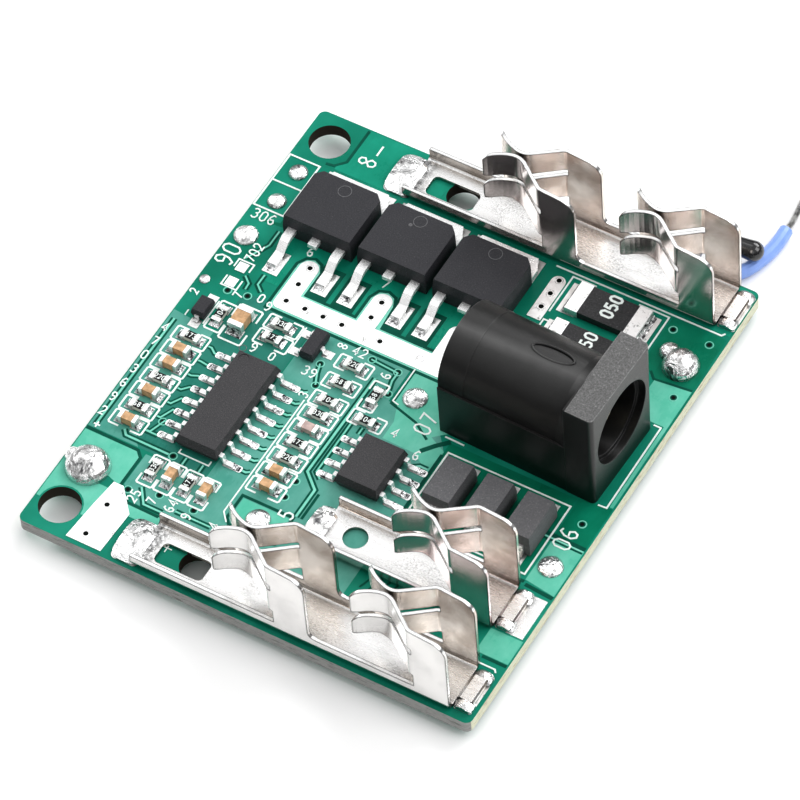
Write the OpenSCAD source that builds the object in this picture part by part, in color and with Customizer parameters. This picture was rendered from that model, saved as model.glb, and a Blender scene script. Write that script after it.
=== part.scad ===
// Battery management board with three spring clips and a barrel power jack.
// The origin is on the underside of the circuit board, at its centre.
// X runs along the terminal clips, Y from the positive clip to the negative clip, Z up.

/* [Circuit board] */
// Length of the board along the terminal clips
board_l = 41; // [41:0.5:46]
// Depth of the board from the front edge to the back edge
board_d = 47; // [47:0.5:52]
// Thickness of the laminate
board_t = 1.2; // [0.8:0.1:2]
// Radius of the board's corners
board_corner_r = 0.6; // [0.3:0.1:1.2]
// Radius of the two mounting holes
mount_hole_r = 1.75; // [1.5:0.05:1.9]
// Distance of the mounting holes from the left edge
mount_inset_x = 2.3; // [2.2:0.1:2.6]
// Distance of the mounting holes from the front and back edges
mount_inset_y = 2.7; // [2.2:0.1:2.8]
// Radius of the relief holes under the clip windows
relief_hole_r = 1.4; // [1:0.1:1.7]
// Thickness of the tinned copper pads
pad_t = 0.06; // [0.04:0.01:0.1]
// Radius of a small plated via
via_r = 0.22; // [0.15:0.01:0.26]

/* [Terminal clips] */
// Thickness of the nickel-plated sheet
clip_t = 0.32; // [0.25:0.01:0.45]
// Width of a clip over its two side walls
clip_w = 4.8; // [4.6:0.1:5]
// Outer radius of the bend between base and side walls
clip_bend_r = 0.65; // [0.6:0.05:0.8]
// Height of the low side flanges
flange_h = 1.3; // [1.1:0.1:1.5]
// Height of the tall ears
ear_h = 8.5; // [7.8:0.1:9.2]
// Length of the flat part of an ear
ear_l = 3.1; // [2.8:0.05:3.3]
// Radius of an ear's rounded top corner
ear_top_r = 1.4; // [1:0.1:1.8]
// Drop of an ear's top edge from its bend line to its right edge
ear_top_drop = 0.2; // [0:0.05:0.4]
// Distance between the two spring stations of a long clip
station_pitch = 12.5; // [12:0.1:13]
// Angle at which the fingers turn in towards each other
finger_in_a = 37; // [33:1:40]
// Angle at which a finger leaves its pinch point outwards
finger_out_a = 14; // [8:1:20]
// Angle of a finger's flared tip
finger_tip_a = 48; // [35:1:55]
// Radius of the bend where a finger leaves the ear
finger_root_r = 0.6; // [0.5:0.05:0.8]
// Radius of the bend where two fingers pinch
finger_nose_r = 1.5; // [1.2:0.05:1.7]
// Radius of a finger's curved lip
finger_lip_r = 4.2; // [3.6:0.1:4.6]
// Gap between two opposite fingers
finger_gap = 0.24; // [0.16:0.02:0.4]
// Height of an upper finger
upper_finger_h = 2.3; // [2:0.1:2.5]
// Height of a lower finger
lower_finger_h = 2.7; // [2.4:0.1:2.9]
// Height that an upper lip rises above its ear
finger_lip_rise = 0.2; // [0.05:0.05:0.35]
// Height that a lower lip loses below, against its finger
finger_lip_cut = 0.6; // [0.4:0.05:0.8]
// Height of the slot between the upper and lower fingers
finger_slot = 0.7; // [0.5:0.05:0.9]
// Radius of a finger tip's corners
finger_tip_r = 0.65; // [0.4:0.05:0.8]
// Length of a long clip's channel, left end to right end
long_clip_l = 28.75; // [28.5:0.05:28.95]
// Length of the short clip's channel
short_clip_l = 16.2; // [15.8:0.1:16.4]
// Length of the window in a long clip's base
window_l = 4.4; // [4:0.1:4.8]
// Width of the window in a long clip's base
window_w = 2; // [1.8:0.1:2.2]
// Distance of the window from the channel's left end
window_x = 1.4; // [1.2:0.1:2]
// Radius of the round hole in the short clip's base
clip_hole_r = 1.03; // [0.9:0.01:1.15]
// Distance of the round hole from the short clip's left end
clip_hole_x = 2.7; // [2.4:0.1:3]
// Length of the soldered tongue at a clip's left end
tongue_l = 1.1; // [0.9:0.1:1.3]
// Width of the soldered tongue
tongue_w = 3; // [2.6:0.1:3.4]
// Length of the soldered tab at a clip's right end
tab_l = 1.4; // [1.1:0.05:1.5]
// Width of the soldered tab
tab_w = 2.4; // [2:0.1:2.8]
// Height of the space under the folded tab
tab_rise = 0.26; // [0.2:0.02:0.4]

/* [Power jack] */
// Length of the jack's housing
jack_l = 14.3; // [14:0.1:14.5]
// Width of the jack's square front flange
jack_w = 8.8; // [8.6:0.1:9]
// Height of the jack's front flange
jack_h = 10.7; // [10.5:0.1:11]
// Thickness of the front flange
jack_flange_t = 2.6; // [2.3:0.1:3]
// Radius of the jack's round barrel
jack_barrel_r = 4.15; // [4:0.05:4.2]
// Height of the jack's axis above the board
jack_axis_h = 5.75; // [5.6:0.05:6]
// Radius of the jack's socket
jack_bore_r = 3.2; // [3.1:0.05:3.3]
// Depth of the jack's socket
jack_bore_l = 9.6; // [9:0.1:10]
// Radius of the shallow ring round the jack's mouth
jack_mouth_r = 3.6; // [3.5:0.05:3.8]
// Depth of the shallow ring round the jack's mouth
jack_mouth_l = 0.7; // [0.5:0.1:1]
// Radius of the jack's centre pin
jack_pin_r = 1.05; // [0.95:0.05:1.25]
// Distance of the centre pin's tip behind the front face
jack_pin_setback = 1.4; // [1:0.1:2]
// Length of the slightly thicker rear collar
jack_collar_l = 2.3; // [2:0.1:2.6]
// Thickness of the jack's contact strips
jack_strip_t = 0.4; // [0.3:0.05:0.5]
// Width of the jack's contact strips
jack_strip_w = 2.4; // [2:0.1:2.8]
// Clearance between the jack's housing and its contacts
jack_play = 0.04; // [0.02:0.01:0.08]
// Turn of the jack on the board, seen from above
jack_skew = -2; // [-3:0.5:0]

/* [Power transistors] */
// Width of a power transistor's moulded body
fet_w = 6.4; // [6.2:0.05:6.6]
// Length of a power transistor's moulded body
fet_l = 5.7; // [5.5:0.1:5.9]
// Height of a power transistor
fet_h = 2.3; // [2.1:0.1:2.5]
// Length of the corner cuts beside the tab
fet_corner = 0.8; // [0.6:0.1:1]
// Distance that the tab stands out behind the body
fet_tab_out = 1.4; // [1.2:0.1:1.6]
// Thickness of the tab and of the leads
fet_lead_t = 0.5; // [0.4:0.05:0.55]
// Width of an outer lead
fet_lead_w = 0.8; // [0.7:0.05:0.9]
// Distance between the two outer leads
fet_lead_span = 4.57; // [4.5:0.01:4.6]
// Distance between neighbouring power transistors
fet_pitch = 7; // [6.9:0.05:7.1]

/* [Gull-wing chips] */
// Width of the control chip's body
control_w = 3.9; // [3.7:0.05:4]
// Length of the control chip's body
control_l = 9.9; // [9.8:0.05:10.2]
// Width of the switch chip's body
switch_w = 3.9; // [3.7:0.05:4]
// Length of the switch chip's body
switch_l = 4.9; // [4.7:0.05:5.1]
// Height of a gull-wing chip
chip_h = 1.55; // [1.4:0.05:1.75]
// Gap under a chip's body
chip_standoff = 0.1; // [0.05:0.01:0.15]
// Distance between neighbouring leads
lead_pitch = 1.27; // [1.25:0.01:1.29]
// Width of a chip's lead
lead_w = 0.42; // [0.35:0.01:0.5]
// Thickness of a chip's lead
lead_t = 0.2; // [0.15:0.01:0.25]
// Width over the lead tips
lead_span = 6.1; // [5.9:0.05:6.4]
// Length of a lead's flat foot
lead_foot = 0.65; // [0.5:0.05:0.75]

/* [Small semiconductors] */
// Width of the small transistor's body
sot_w = 1.3; // [1.2:0.05:1.4]
// Length of the small transistor's body
sot_l = 2.8; // [2.7:0.05:2.9]
// Height of the small transistor
sot_h = 1; // [0.9:0.05:1.1]
// Distance between the small transistor's paired leads
sot_lead_pitch = 1.9; // [1.8:0.05:1.95]
// Width over the small transistor's lead tips
sot_span = 2.5; // [2.3:0.05:2.6]
// Width of the small diode's body
sod_w = 1.25; // [1.15:0.05:1.3]
// Length of the small diode's body
sod_l = 1.8; // [1.7:0.05:1.9]
// Length over the small diode's leads
sod_span = 2.6; // [2.5:0.05:2.7]

/* [Power diodes] */
// Width of a power diode's body
diode_w = 2.6; // [2.5:0.05:2.8]
// Length of a power diode's body
diode_l = 4.3; // [4.1:0.1:4.4]
// Height of a power diode
diode_h = 2.15; // [2:0.05:2.4]
// Width of a power diode's lead strip
diode_lead_w = 1.5; // [1.3:0.1:1.7]
// Thickness of a power diode's lead strip
diode_lead_t = 0.2; // [0.15:0.01:0.25]
// Distance between neighbouring power diodes
diode_pitch = 3.6; // [3.5:0.05:3.7]

/* [Shunt resistors] */
// Length of a shunt resistor
shunt_l = 6.5; // [6.3:0.05:6.6]
// Width of a shunt resistor
shunt_w = 3; // [2.8:0.05:3.2]
// Height of a shunt resistor
shunt_h = 0.75; // [0.6:0.05:0.9]
// Length of a shunt resistor's end caps
shunt_cap = 1.15; // [0.9:0.05:1.3]
// Distance between the two shunt resistors
shunt_pitch = 4.1; // [3.9:0.05:4.3]

/* [Chip resistors and capacitors] */
// Length of a small chip
small_l = 1.6; // [1.5:0.05:1.7]
// Width of a small chip
small_w = 0.82; // [0.75:0.01:0.9]
// Height of a chip resistor
resistor_h = 0.45; // [0.4:0.01:0.55]
// Height of a chip capacitor
capacitor_h = 0.8; // [0.7:0.05:0.9]
// Length of a small chip's end caps
small_cap = 0.32; // [0.25:0.01:0.38]
// Thickness of the metal of an end cap
cap_t = 0.04; // [0.03:0.01:0.06]
// Length of the large capacitor
large_l = 2.05; // [1.9:0.05:2.1]
// Width of the large capacitor
large_w = 1.3; // [1.2:0.05:1.35]
// Height of the large capacitor
large_h = 1.05; // [0.9:0.05:1.2]
// Length of the large capacitor's end caps
large_cap = 0.45; // [0.35:0.05:0.5]
// Length of the solder fillet beyond a chip's end
chip_fillet = 0.38; // [0.3:0.02:0.42]

/* [Solder joints] */
// Radius of the positive battery joint
plus_joint_r = 1.9; // [1.8:0.05:1.95]
// Height of the positive battery joint
plus_joint_h = 1.5; // [1.3:0.1:1.7]
// Radius of the negative battery joint
minus_joint_r = 1.55; // [1.4:0.05:1.7]
// Height of the negative battery joint
minus_joint_h = 1.5; // [1.3:0.1:1.6]
// Radius of the cell tap joints
tap_joint_r = 1.05; // [0.95:0.05:1.15]
// Height of the cell tap joints
tap_joint_h = 0.45; // [0.35:0.05:0.6]
// Radius of the thermistor joints
sensor_joint_r = 0.82; // [0.75:0.01:0.9]
// Height of the thermistor joints
sensor_joint_h = 0.4; // [0.3:0.05:0.5]
// Distance that every joint stands out below the board
joint_drop = 0.9; // [0.8:0.05:1.1]
// Height of the solder at a clip's tongue
tongue_solder_h = 0.62; // [0.5:0.02:0.9]
// Height of the solder at a clip's tab
tab_solder_h = 0.6; // [0.5:0.02:0.8]

/* [Thermistor] */
// Radius of the thermistor's bead
bead_r = 0.88; // [0.8:0.02:0.94]
// Length of the thermistor's bead
bead_l = 3.3; // [3:0.1:3.5]
// Radius of the thermistor's bare leads
wire_r = 0.24; // [0.2:0.01:0.26]
// Outer radius of the sleeve on one lead
sleeve_r = 0.6; // [0.54:0.02:0.62]

/* [Hidden] */
$fn = 48;

seat_z = board_t + pad_t;            // top of the tinned pads, where every component sits
table_z = -joint_drop;               // level that the joints below the board stand on
eps = 0.01;                          // overlap that makes unions and cuts clean

// Mounting and relief holes
mount_x = -board_l / 2 + mount_inset_x;
mount_y = board_d / 2 - mount_inset_y;

// Clips: [left end of the channel, centre line]
clip_edge_gap = 0.35;                // from the front edge to the positive clip
right_x = board_l / 2;
back_y = board_d / 2;
positive_clip_at = [-10.2, -board_d / 2 + clip_edge_gap + clip_w / 2];
negative_clip_at = [-9.95, board_d / 2 - clip_w / 2 - 0.15];
clip_pitch = 8;                      // from the positive clip's centre line to the signal clip's
signal_clip_at = [1.4, positive_clip_at[1] + clip_pitch];
long_stations = [long_clip_l - station_pitch, long_clip_l];
short_stations = [short_clip_l];
window_shift = -0.35;                // the window lies a little off the centre line
window_r = 0.45;
relief_x = positive_clip_at[0] + window_x + 3.2;

// Heights along a clip's finger, from the underside of its base
finger_top = ear_h;
upper_finger_z = finger_top - upper_finger_h;
lower_finger_z = upper_finger_z - finger_slot - lower_finger_h;
wall_y = clip_w / 2 - clip_t / 2;    // centre line of a side wall
finger_run = (wall_y - finger_gap / 2 - clip_t / 2
    - (finger_root_r + finger_nose_r) * (1 - cos(finger_in_a))) / sin(finger_in_a);
finger_nose_x = (finger_root_r + finger_nose_r) * sin(finger_in_a) + finger_run * cos(finger_in_a);
finger_reach = finger_nose_x + finger_nose_r * sin(finger_out_a)
    + finger_lip_r * (sin(finger_tip_a) - sin(finger_out_a));

// Jack, measured from the middle of its front face on the board
jack_at = [right_x - 1.5, 3.45];
jack_lug_x = -jack_l + 0.7;          // front face of the strip behind the centre pin
jack_shank_r = jack_pin_r * 0.7;     // part of the pin inside the housing's rear wall
jack_spring_x = -8.4;                // lug of the sleeve spring
jack_switch_x = -11.2;               // lug of the switch contact
jack_lug_hole = 0.25;                // extra width of a lug's slot in the board

// Power transistors
fet_at = [-13.4, 10.8];              // front face of the first body
fet_lead_z = 0.75;                   // underside of a lead where it leaves the body
fet_lead_reach = 3.4;                // from the body's front face to a lead's tip

// Gull-wing chips: centres
control_at = [-11.15, -6.75];
switch_at = [1.95, -6.6];
chip_pad_out = 0.85;                 // pad beyond a lead's tip
chip_pad_l = 1.7;
chip_pad_w = 0.62;

// Small semiconductors
sot_at = [-8.3, 1.85];
sod_at = [2.3 - right_x, 0.9];
sod_h = 0.95;

// Power diodes and shunts
diode_at = [right_x - 12.1, -5.55];
shunt_at = [right_x - 9.75, back_y - 7.6];

// Small chips: [x, y, turn]
left_column_x = 2.85 - right_x;
right_column_x = -4.6;
small_pitch = 1.57;
resistors = [
    [left_column_x, -1.93, 0],
    [left_column_x, -1.93 - 3 * small_pitch, 0],
    [left_column_x, -1.93 - 5 * small_pitch, 0],
    [-16.72, 1.1, 90],
    [-11.78, 2.5, 0],
    [-11.78, 1, 0],
    [right_column_x, 1.7, 0],
    [right_column_x, -0.28, 0],
    [right_column_x, -2.28, 0],
    [right_column_x, -3.8, 0],
    [right_column_x, -7, 0],
    [right_column_x, -8.65, 0],
    [-1.58, -0.15, 90],
    [-1, -2.55, 0],
    [-13.4, -14.45, 90],
    [-10.2, -14.45, 90]
];
capacitors = [
    [left_column_x, -1.93 - small_pitch, 0],
    [left_column_x, -1.93 - 2 * small_pitch, 0],
    [left_column_x, -1.93 - 4 * small_pitch, 0],
    [left_column_x, -1.93 - 6 * small_pitch, 0],
    [right_column_x, -10.2, 0],
    [right_column_x, -11.72, 0],
    [-11.8, -14.45, 90],
    [-8.6, -14.45, 90]
];
ferrite = [right_column_x, -5.3, 0];
large_capacitor = [-14.85, 1.25, 90];
ferrite_h = 0.6;
chip_pad_side = 0.06;                // pad beyond a chip's side

// Solder joints
plus_joint = [2.3 - right_x, 6.9 - back_y];
minus_joint = [right_x - 2.2, back_y - 9.4];
plus_blob = [-1.5, 0.3];             // lump of solder beside the positive joint
minus_blob = [-1.4, 0.8];            // lump of solder beside the negative joint
edge_joint = [0.66 - right_x, 3.78];
edge_joint_r = 0.47;
cell_taps = [[1.3 - right_x, 9.2], [-3.65, -14.7], [1.25, 1.4], [right_x - 1.75, -7.75]];
sensor_joints = [[1.7 - right_x, back_y - 6.7], [1.7 - right_x, back_y - 10.1]];
hole_share = 0.5;                    // plated hole's radius as a share of its joint's radius

// Tinned copper on the top: outlines in X and Y
bus_band_y = [4, 5.85];
bus_x = [-13.75, 3.2];
bus_arm_w = 1.7;
bus_arms = [[-12.9, 9.4], [-5.95, 9.3], [1.05, 9.3]];
bus_end_r = 0.55;
side_strip = [5.55, 12.8, 17.5];     // x, first y, last y
side_strip_w = 1.25;
empty_pads = [[2.73 - right_x, 6.2], [2.73 - right_x, 4.55]];
battery_strip = [[-16.2, -23.1], [-13, -23.1], [-12.85, -19], [-14.7, -16.9], [-15.6, -16.9],
    [-15.9, -19.4]];
top_vias = [
    [-12.85, 8.7], [-12.85, 6.85], [-12.85, 4.95], [-11.1, 4.95], [-9.4, 4.95], [-7.65, 4.95],
    [-5.95, 8.4], [-5.95, 6.7], [-4.1, 4.95], [5.55, 17.05], [5.55, 15.6], [5.55, 14.1],
    [-14.9, -19.05], [-14.9, -22.2], [15.95, 17], [19.2, 17], [19.2, 11.05], [18.85, -3.1]
];

// Thermistor: the bead lies on its own sleeve, behind the board
bead_tip = [right_x - 1.75, back_y + 3.65];
bead_a = 4;                          // turn of the bead seen from above
bead_tail_r = 0.62;
bead_z = table_z + 2 * sleeve_r + bead_r + 0.02;
wire_z = table_z + wire_r + 0.05;
sleeve_z = table_z + sleeve_r;
tail_y = 0.3;                        // from the bead's axis to either lead
tail_x = bead_tip[0] - bead_l * cos(bead_a);
tail_mid_y = bead_tip[1] - bead_l * sin(bead_a);
joint_entry = [sensor_joints[0][0] + sensor_joint_r * 0.55, sensor_joints[0][1], wire_z];
board_lead_route = [
    [tail_x - 0.1, tail_mid_y + tail_y, bead_z],
    [right_x - 5.9, back_y + 3.7, bead_z - 0.1],
    [right_x - 6.9, back_y + 2.9, 0.2],
    [right_x - 8.1, back_y + 1.7, -0.4],
    [right_x - 9.5, back_y + 0.9, wire_z],
    [4, back_y + 0.7, wire_z],
    [-4, back_y + 0.7, wire_z],
    [8.5 - right_x, back_y + 0.7, wire_z],
    [6.1 - right_x, back_y + 0.1, wire_z],
    [4.9 - right_x, back_y - 1.5, wire_z],
    [4.7 - right_x, back_y - 3.5, wire_z],
    [4.2 - right_x, back_y - 5.5, wire_z],
    [3.3 - right_x, back_y - 6.6, wire_z],
    joint_entry
];
free_lead_route = [
    [tail_x - 0.1, tail_mid_y - tail_y, bead_z],
    [right_x - 6, back_y + 2.9, 0.9],
    [right_x - 6.7, back_y + 2.2, 0.3],
    [right_x - 6.6, back_y + 1.4, -0.2],
    [right_x - 5.9, back_y + 1, sleeve_z],
    [right_x - 4.9, back_y + 1, sleeve_z],
    [right_x - 3.7, back_y + 1.5, sleeve_z],
    [right_x - 2.7, back_y + 2.8, sleeve_z],
    [right_x - 2.1, back_y + 4.5, sleeve_z],
    [right_x - 1.85, back_y + 6.1, sleeve_z],
    [right_x - 1.85, back_y + 7.7, sleeve_z],
    [right_x - 1.9, back_y + 8.9, -0.5],
    [right_x - 2.1, back_y + 10.5, wire_z],
    [right_x - 2.3, back_y + 11.7, wire_z]
];
route_steps = 3;                     // points between two corners of a route
sleeve_ends = [4, 10];               // corners of the free lead between which the sleeve lies

// ---------------------------------------------------------------- shared shapes

// Rectangle with round corners, centred
module rounded_outline(l, w, r) {
    square([l - 2 * r, w], center = true);
    square([l, w - 2 * r], center = true);
    for (x = [-1, 1], y = [-1, 1])
        translate([x * (l / 2 - r), y * (w / 2 - r)]) circle(r);
}

// Side view of a block whose top is narrower than its foot
module trapezium(l, h, draft)
    polygon([[-l / 2, 0], [l / 2, 0], [l / 2 - draft, h], [-l / 2 + draft, h]]);

// Block standing on z = 0 whose top is smaller than its foot
module drafted_block(l, w, h, draft) intersection() {
    along_y(w) trapezium(l, h, draft);
    rotate(90) along_y(l) trapezium(w, h, draft);
}

// Moulded chip body: it widens to its parting line and narrows again to the top
module moulded_body(l, w, h, draft) {
    mid = h * 0.5;
    translate([0, 0, mid]) drafted_block(l, w, h - mid, draft);
    translate([0, 0, mid]) mirror([0, 0, 1]) drafted_block(l, w, mid, draft);
}

// Low solder pillow: a ball's cap cut to a round-cornered outline, standing on z = 0
module solder_pillow(l, w, h, r) {
    reach = sqrt(l * l + w * w) / 2;
    ball_r = (reach * reach + h * h) / (2 * h);
    intersection() {
        linear_extrude(h) rounded_outline(l, w, r);
        translate([0, 0, h - ball_r]) sphere(ball_r, $fn = 96);
    }
}

// Domed outline of a through-hole joint, from the table to its top
function dome(r, h, steps = 8) = [for (i = [0 : steps]) [r * cos(90 * i / steps),
    h * sin(90 * i / steps)]];

// Joint through the board: a dome on top, a plug in the hole and a dome below
module solder_lump(at, r, h) translate([at[0], at[1], board_t])
    rotate_extrude() polygon(concat([[0, 0]], dome(r, h)));
module through_joint(r, h, drop = joint_drop) {
    solder_lump([0, 0], r, h);
    cylinder(r = r * hole_share, h = board_t + eps);
    mirror([0, 0, 1]) rotate_extrude() polygon(concat([[0, 0]], dome(r * 0.9, drop)));
}

// Extrusion of an outline in X and Z along Y, centred
module along_y(w) rotate([90, 0, 0]) translate([0, 0, -w / 2]) linear_extrude(w) children();

// Point on a smooth curve through four neighbours, at share t between the middle two
function spline_at(a, b, c, d,
    t) = b + t / 2 * (c - a + t * (2 * a - 5 * b + 4 * c - d + t * (3 * (b - c) + d - a)));
function smoothed(p, n) = [
    for (i = [0 : len(p) - 2], k = [0 : n - 1])
        spline_at(p[max(i - 1, 0)], p[i], p[i + 1], p[min(i + 2, len(p) - 1)], k / n),
    p[len(p) - 1]
];

// Sweep of a round wire along a list of points, as rings that turn as little as possible
function unit(v) = v / norm(v);
function heading(p, i) = unit(p[min(i + 1, len(p) - 1)] - p[max(i - 1, 0)]);
function across(u, t) = unit(u - (u * t) * t);
function ring_axes(p) = [
    for (i = 0, u = across([0.1, 0.2, 1], heading(p, 0)); i < len(p);
        i = i + 1, u = i < len(p) ? across(u, heading(p, i)) : u) u
];
function rings(p, r, sides, from, to) = let (up = ring_axes(p)) [
    for (i = [from : to]) let (side = cross(heading(p, i), up[i])) for (k = [0 : sides - 1])
        p[i] + r * (up[i] * cos(360 * k / sides) + side * sin(360 * k / sides))
];
function ring_walls(count, sides, start) = [
    for (i = [0 : count - 2], k = [0 : sides - 1])
        let (a = start + i * sides + k, b = start + i * sides + (k + 1) % sides)
        for (f = [[a, b, b + sides], [a, b + sides, a + sides]]) f
];
module wire_sweep(p, r, sides = 8) {
    count = len(p);
    last = (count - 1) * sides;
    ends = [[for (k = [0 : sides - 1]) sides - 1 - k], [for (k = [0 : sides - 1]) last + k]];
    polyhedron(rings(p, r, sides, 0, count - 1), concat(ring_walls(count, sides, 0), ends));
}

// Tube round part of the same route
module tube_sweep(p, r, hole, sides, from, to) {
    count = to - from + 1;
    inner = count * sides;
    last = inner - sides;
    hollow = [for (f = ring_walls(count, sides, inner)) [f[2], f[1], f[0]]];
    ends = [for (k = [0 : sides - 1]) let (n = (k + 1) % sides)
        for (f = [[n, k, inner + k, inner + n],
            [last + k, last + n, inner + last + n, inner + last + k]]) f];
    polyhedron(concat(rings(p, r, sides, from, to), rings(p, hole, sides, from, to)),
        concat(ring_walls(count, sides, 0), hollow, ends));
}

// ---------------------------------------------------------------- circuit board

module lug_slot(at, l, w)
    translate([at[0], at[1], -eps]) linear_extrude(board_t + 2 * eps)
        rounded_outline(l + jack_lug_hole, w + jack_lug_hole, jack_lug_hole);

module circuit_board() color("#1f9468") difference() {
    linear_extrude(board_t) difference() {
        rounded_outline(board_l, board_d, board_corner_r);
        for (y = [-1, 1]) translate([mount_x, y * mount_y]) circle(mount_hole_r);
        translate([relief_x, positive_clip_at[1]]) circle(relief_hole_r);
        translate([relief_x, negative_clip_at[1]]) circle(relief_hole_r);
        translate(plus_joint) circle(plus_joint_r * hole_share);
        translate(minus_joint) circle(minus_joint_r * hole_share);
        for (p = cell_taps) translate(p) circle(tap_joint_r * hole_share);
        translate(edge_joint) circle(edge_joint_r * hole_share);
        for (p = sensor_joints) translate(p) circle(sensor_joint_r * hole_share);
    }
    for (p = top_vias) translate([p[0], p[1], -eps]) cylinder(r = via_r, h = board_t + 2 * eps);
    on_jack(0) {
        lug_slot([jack_lug_x - jack_strip_t / 2, 0], jack_strip_t, jack_strip_w);
        lug_slot([jack_spring_x, 0], jack_strip_t, jack_strip_w);
        lug_slot([jack_switch_x, jack_barrel_r - jack_strip_t / 2], jack_strip_w, jack_strip_t);
    }
}

// Pads under a two-ended chip of length l and width w
module chip_pads(at, l, w)
    translate([at[0], at[1], board_t]) rotate(at[2]) for (s = [-1, 1])
        translate([s * (l / 2 - 0.05), 0, pad_t / 2])
            cube([2 * chip_fillet + 0.1, w + 2 * chip_pad_side, pad_t], center = true);

// Pads under one row of gull-wing leads on each side of a chip
module lead_pads(at, count, span)
    for (s = [-1, 1], i = [0 : count - 1])
        translate([at[0] + s * (span / 2 + chip_pad_out - chip_pad_l / 2),
            at[1] + (i - (count - 1) / 2) * lead_pitch, board_t])
            linear_extrude(pad_t) rounded_outline(chip_pad_l, chip_pad_w, 0.2);

module bus_outline() difference() {
    union() {
        translate([bus_x[0] + bus_end_r, bus_band_y[0]])
            square([bus_x[1] - bus_x[0] - bus_end_r, bus_band_y[1] - bus_band_y[0]]);
        translate([bus_x[0], bus_band_y[0] + bus_end_r])
            square([bus_end_r + eps, bus_band_y[1] - bus_band_y[0] - bus_end_r]);
        translate([bus_x[0] + bus_end_r, bus_band_y[0] + bus_end_r]) circle(bus_end_r);
        for (a = bus_arms) {
            translate([a[0] - bus_arm_w / 2, bus_band_y[0] + bus_end_r])
                square([bus_arm_w, a[1] - bus_arm_w / 2 - bus_band_y[0] - bus_end_r]);
            translate([a[0], a[1] - bus_arm_w / 2]) circle(bus_arm_w / 2);
        }
    }
    for (p = top_vias) translate(p) circle(via_r);
}

module tinned_pads() color("#dcdcdc") {
    for (p = concat(resistors, capacitors, [ferrite])) chip_pads(p, small_l, small_w);
    chip_pads(large_capacitor, large_l, large_w);
    lead_pads(control_at, 8, lead_span);
    lead_pads(switch_at, 4, lead_span);
    translate([0, 0, board_t]) linear_extrude(pad_t) {
        bus_outline();
        difference() {
            union() {
                translate([side_strip[0] - side_strip_w / 2, side_strip[1]])
                    square([side_strip_w, side_strip[2] - side_strip[1] - side_strip_w / 2]);
                translate([side_strip[0], side_strip[2] - side_strip_w / 2]) circle(side_strip_w / 2);
            }
            for (p = top_vias) translate(p) circle(via_r);
        }
        difference() {
            polygon(battery_strip);
            for (p = top_vias) translate(p) circle(via_r);
        }
        for (p = empty_pads) translate(p) square([0.9, 0.95], center = true);
        for (i = [0 : 2]) translate([fet_at[0] + i * fet_pitch, fet_at[1]]) fet_pad_outlines();
        translate(sot_at) sot_pad_outlines();
        for (s = [-1, 1]) translate([sod_at[0], sod_at[1] + s * (sod_span / 2 + 0.05)])
            square([0.9, 0.9], center = true);
        for (i = [0 : 2], s = [-1, 1])
            translate([diode_at[0] + i * diode_pitch, diode_at[1] + s * (diode_l / 2 + diode_lead_t)])
                square([diode_lead_w + 0.5, 1.7], center = true);
        for (i = [0, 1], s = [-1, 1])
            translate([shunt_at[0] + s * (shunt_l / 2 - 0.05), shunt_at[1] - i * shunt_pitch])
                square([1.6, shunt_w + 0.1], center = true);
        for (c = [[positive_clip_at, long_clip_l], [negative_clip_at, long_clip_l],
            [signal_clip_at, short_clip_l]])
            translate(c[0]) clip_pad_outlines(c[1]);
    }
}

// ---------------------------------------------------------------- terminal clips

// Section of the channel across Y and Z: a base with two low flanges and round bends
module channel_section() {
    module trough(w, z, r, h) {
        translate([-w / 2, z + r]) square([w, h - z - r]);
        translate([-w / 2 + r, z]) square([w - 2 * r, r + eps]);
        for (s = [-1, 1]) translate([s * (w / 2 - r), z + r]) circle(r);
    }
    difference() {
        trough(clip_w, 0, clip_bend_r, flange_h);
        trough(clip_w - 2 * clip_t, clip_t, clip_bend_r - clip_t, flange_h + 1);
    }
}

// Tab in X and Z: a joggled strip with its end turned down to the pad
module tab_outline() polygon([
    [-eps, 0], [0.12, 0], [0.42, tab_rise], [tab_l - 0.3, tab_rise], [tab_l - 0.2, 0], [tab_l, 0],
    [tab_l, tab_rise + clip_t * 0.55], [tab_l - 0.12, tab_rise + clip_t],
    [0.28, tab_rise + clip_t], [-eps, clip_t]
]);

// Channel of a clip along X with its tongue at the left and its tab at the right
module clip_channel(l) {
    rotate([90, 0, 90]) linear_extrude(l) channel_section();
    translate([-tongue_l, -tongue_w / 2, 0]) cube([tongue_l + eps, tongue_w, clip_t]);
    translate([l, 0, 0]) along_y(tab_w) tab_outline();
}

// Flat part of an ear in X and Z, from its bend line to its right edge
module ear_outline() {
    side_z = ear_h - ear_top_drop - ear_top_r;
    polygon([
        [0, clip_bend_r], [ear_l, clip_bend_r], [ear_l, side_z],
        [ear_l - ear_top_r, side_z], [ear_l - ear_top_r, ear_h - ear_top_drop], [0, ear_h]
    ]);
    translate([ear_l - ear_top_r, side_z]) circle(ear_top_r);
}

// Slots that part the two fingers from each other and from the flange, with round ends
module finger_slots() {
    gap_r = (lower_finger_z - flange_h) / 2;
    slot_r = finger_slot / 2;
    translate([-slot_r, upper_finger_z - slot_r]) circle(slot_r);
    translate([-finger_reach, upper_finger_z - finger_slot])
        square([finger_reach - slot_r, finger_slot]);
    translate([-gap_r, flange_h + gap_r]) circle(gap_r);
    translate([-finger_reach, flange_h]) square([finger_reach - gap_r, 2 * gap_r]);
}

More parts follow.
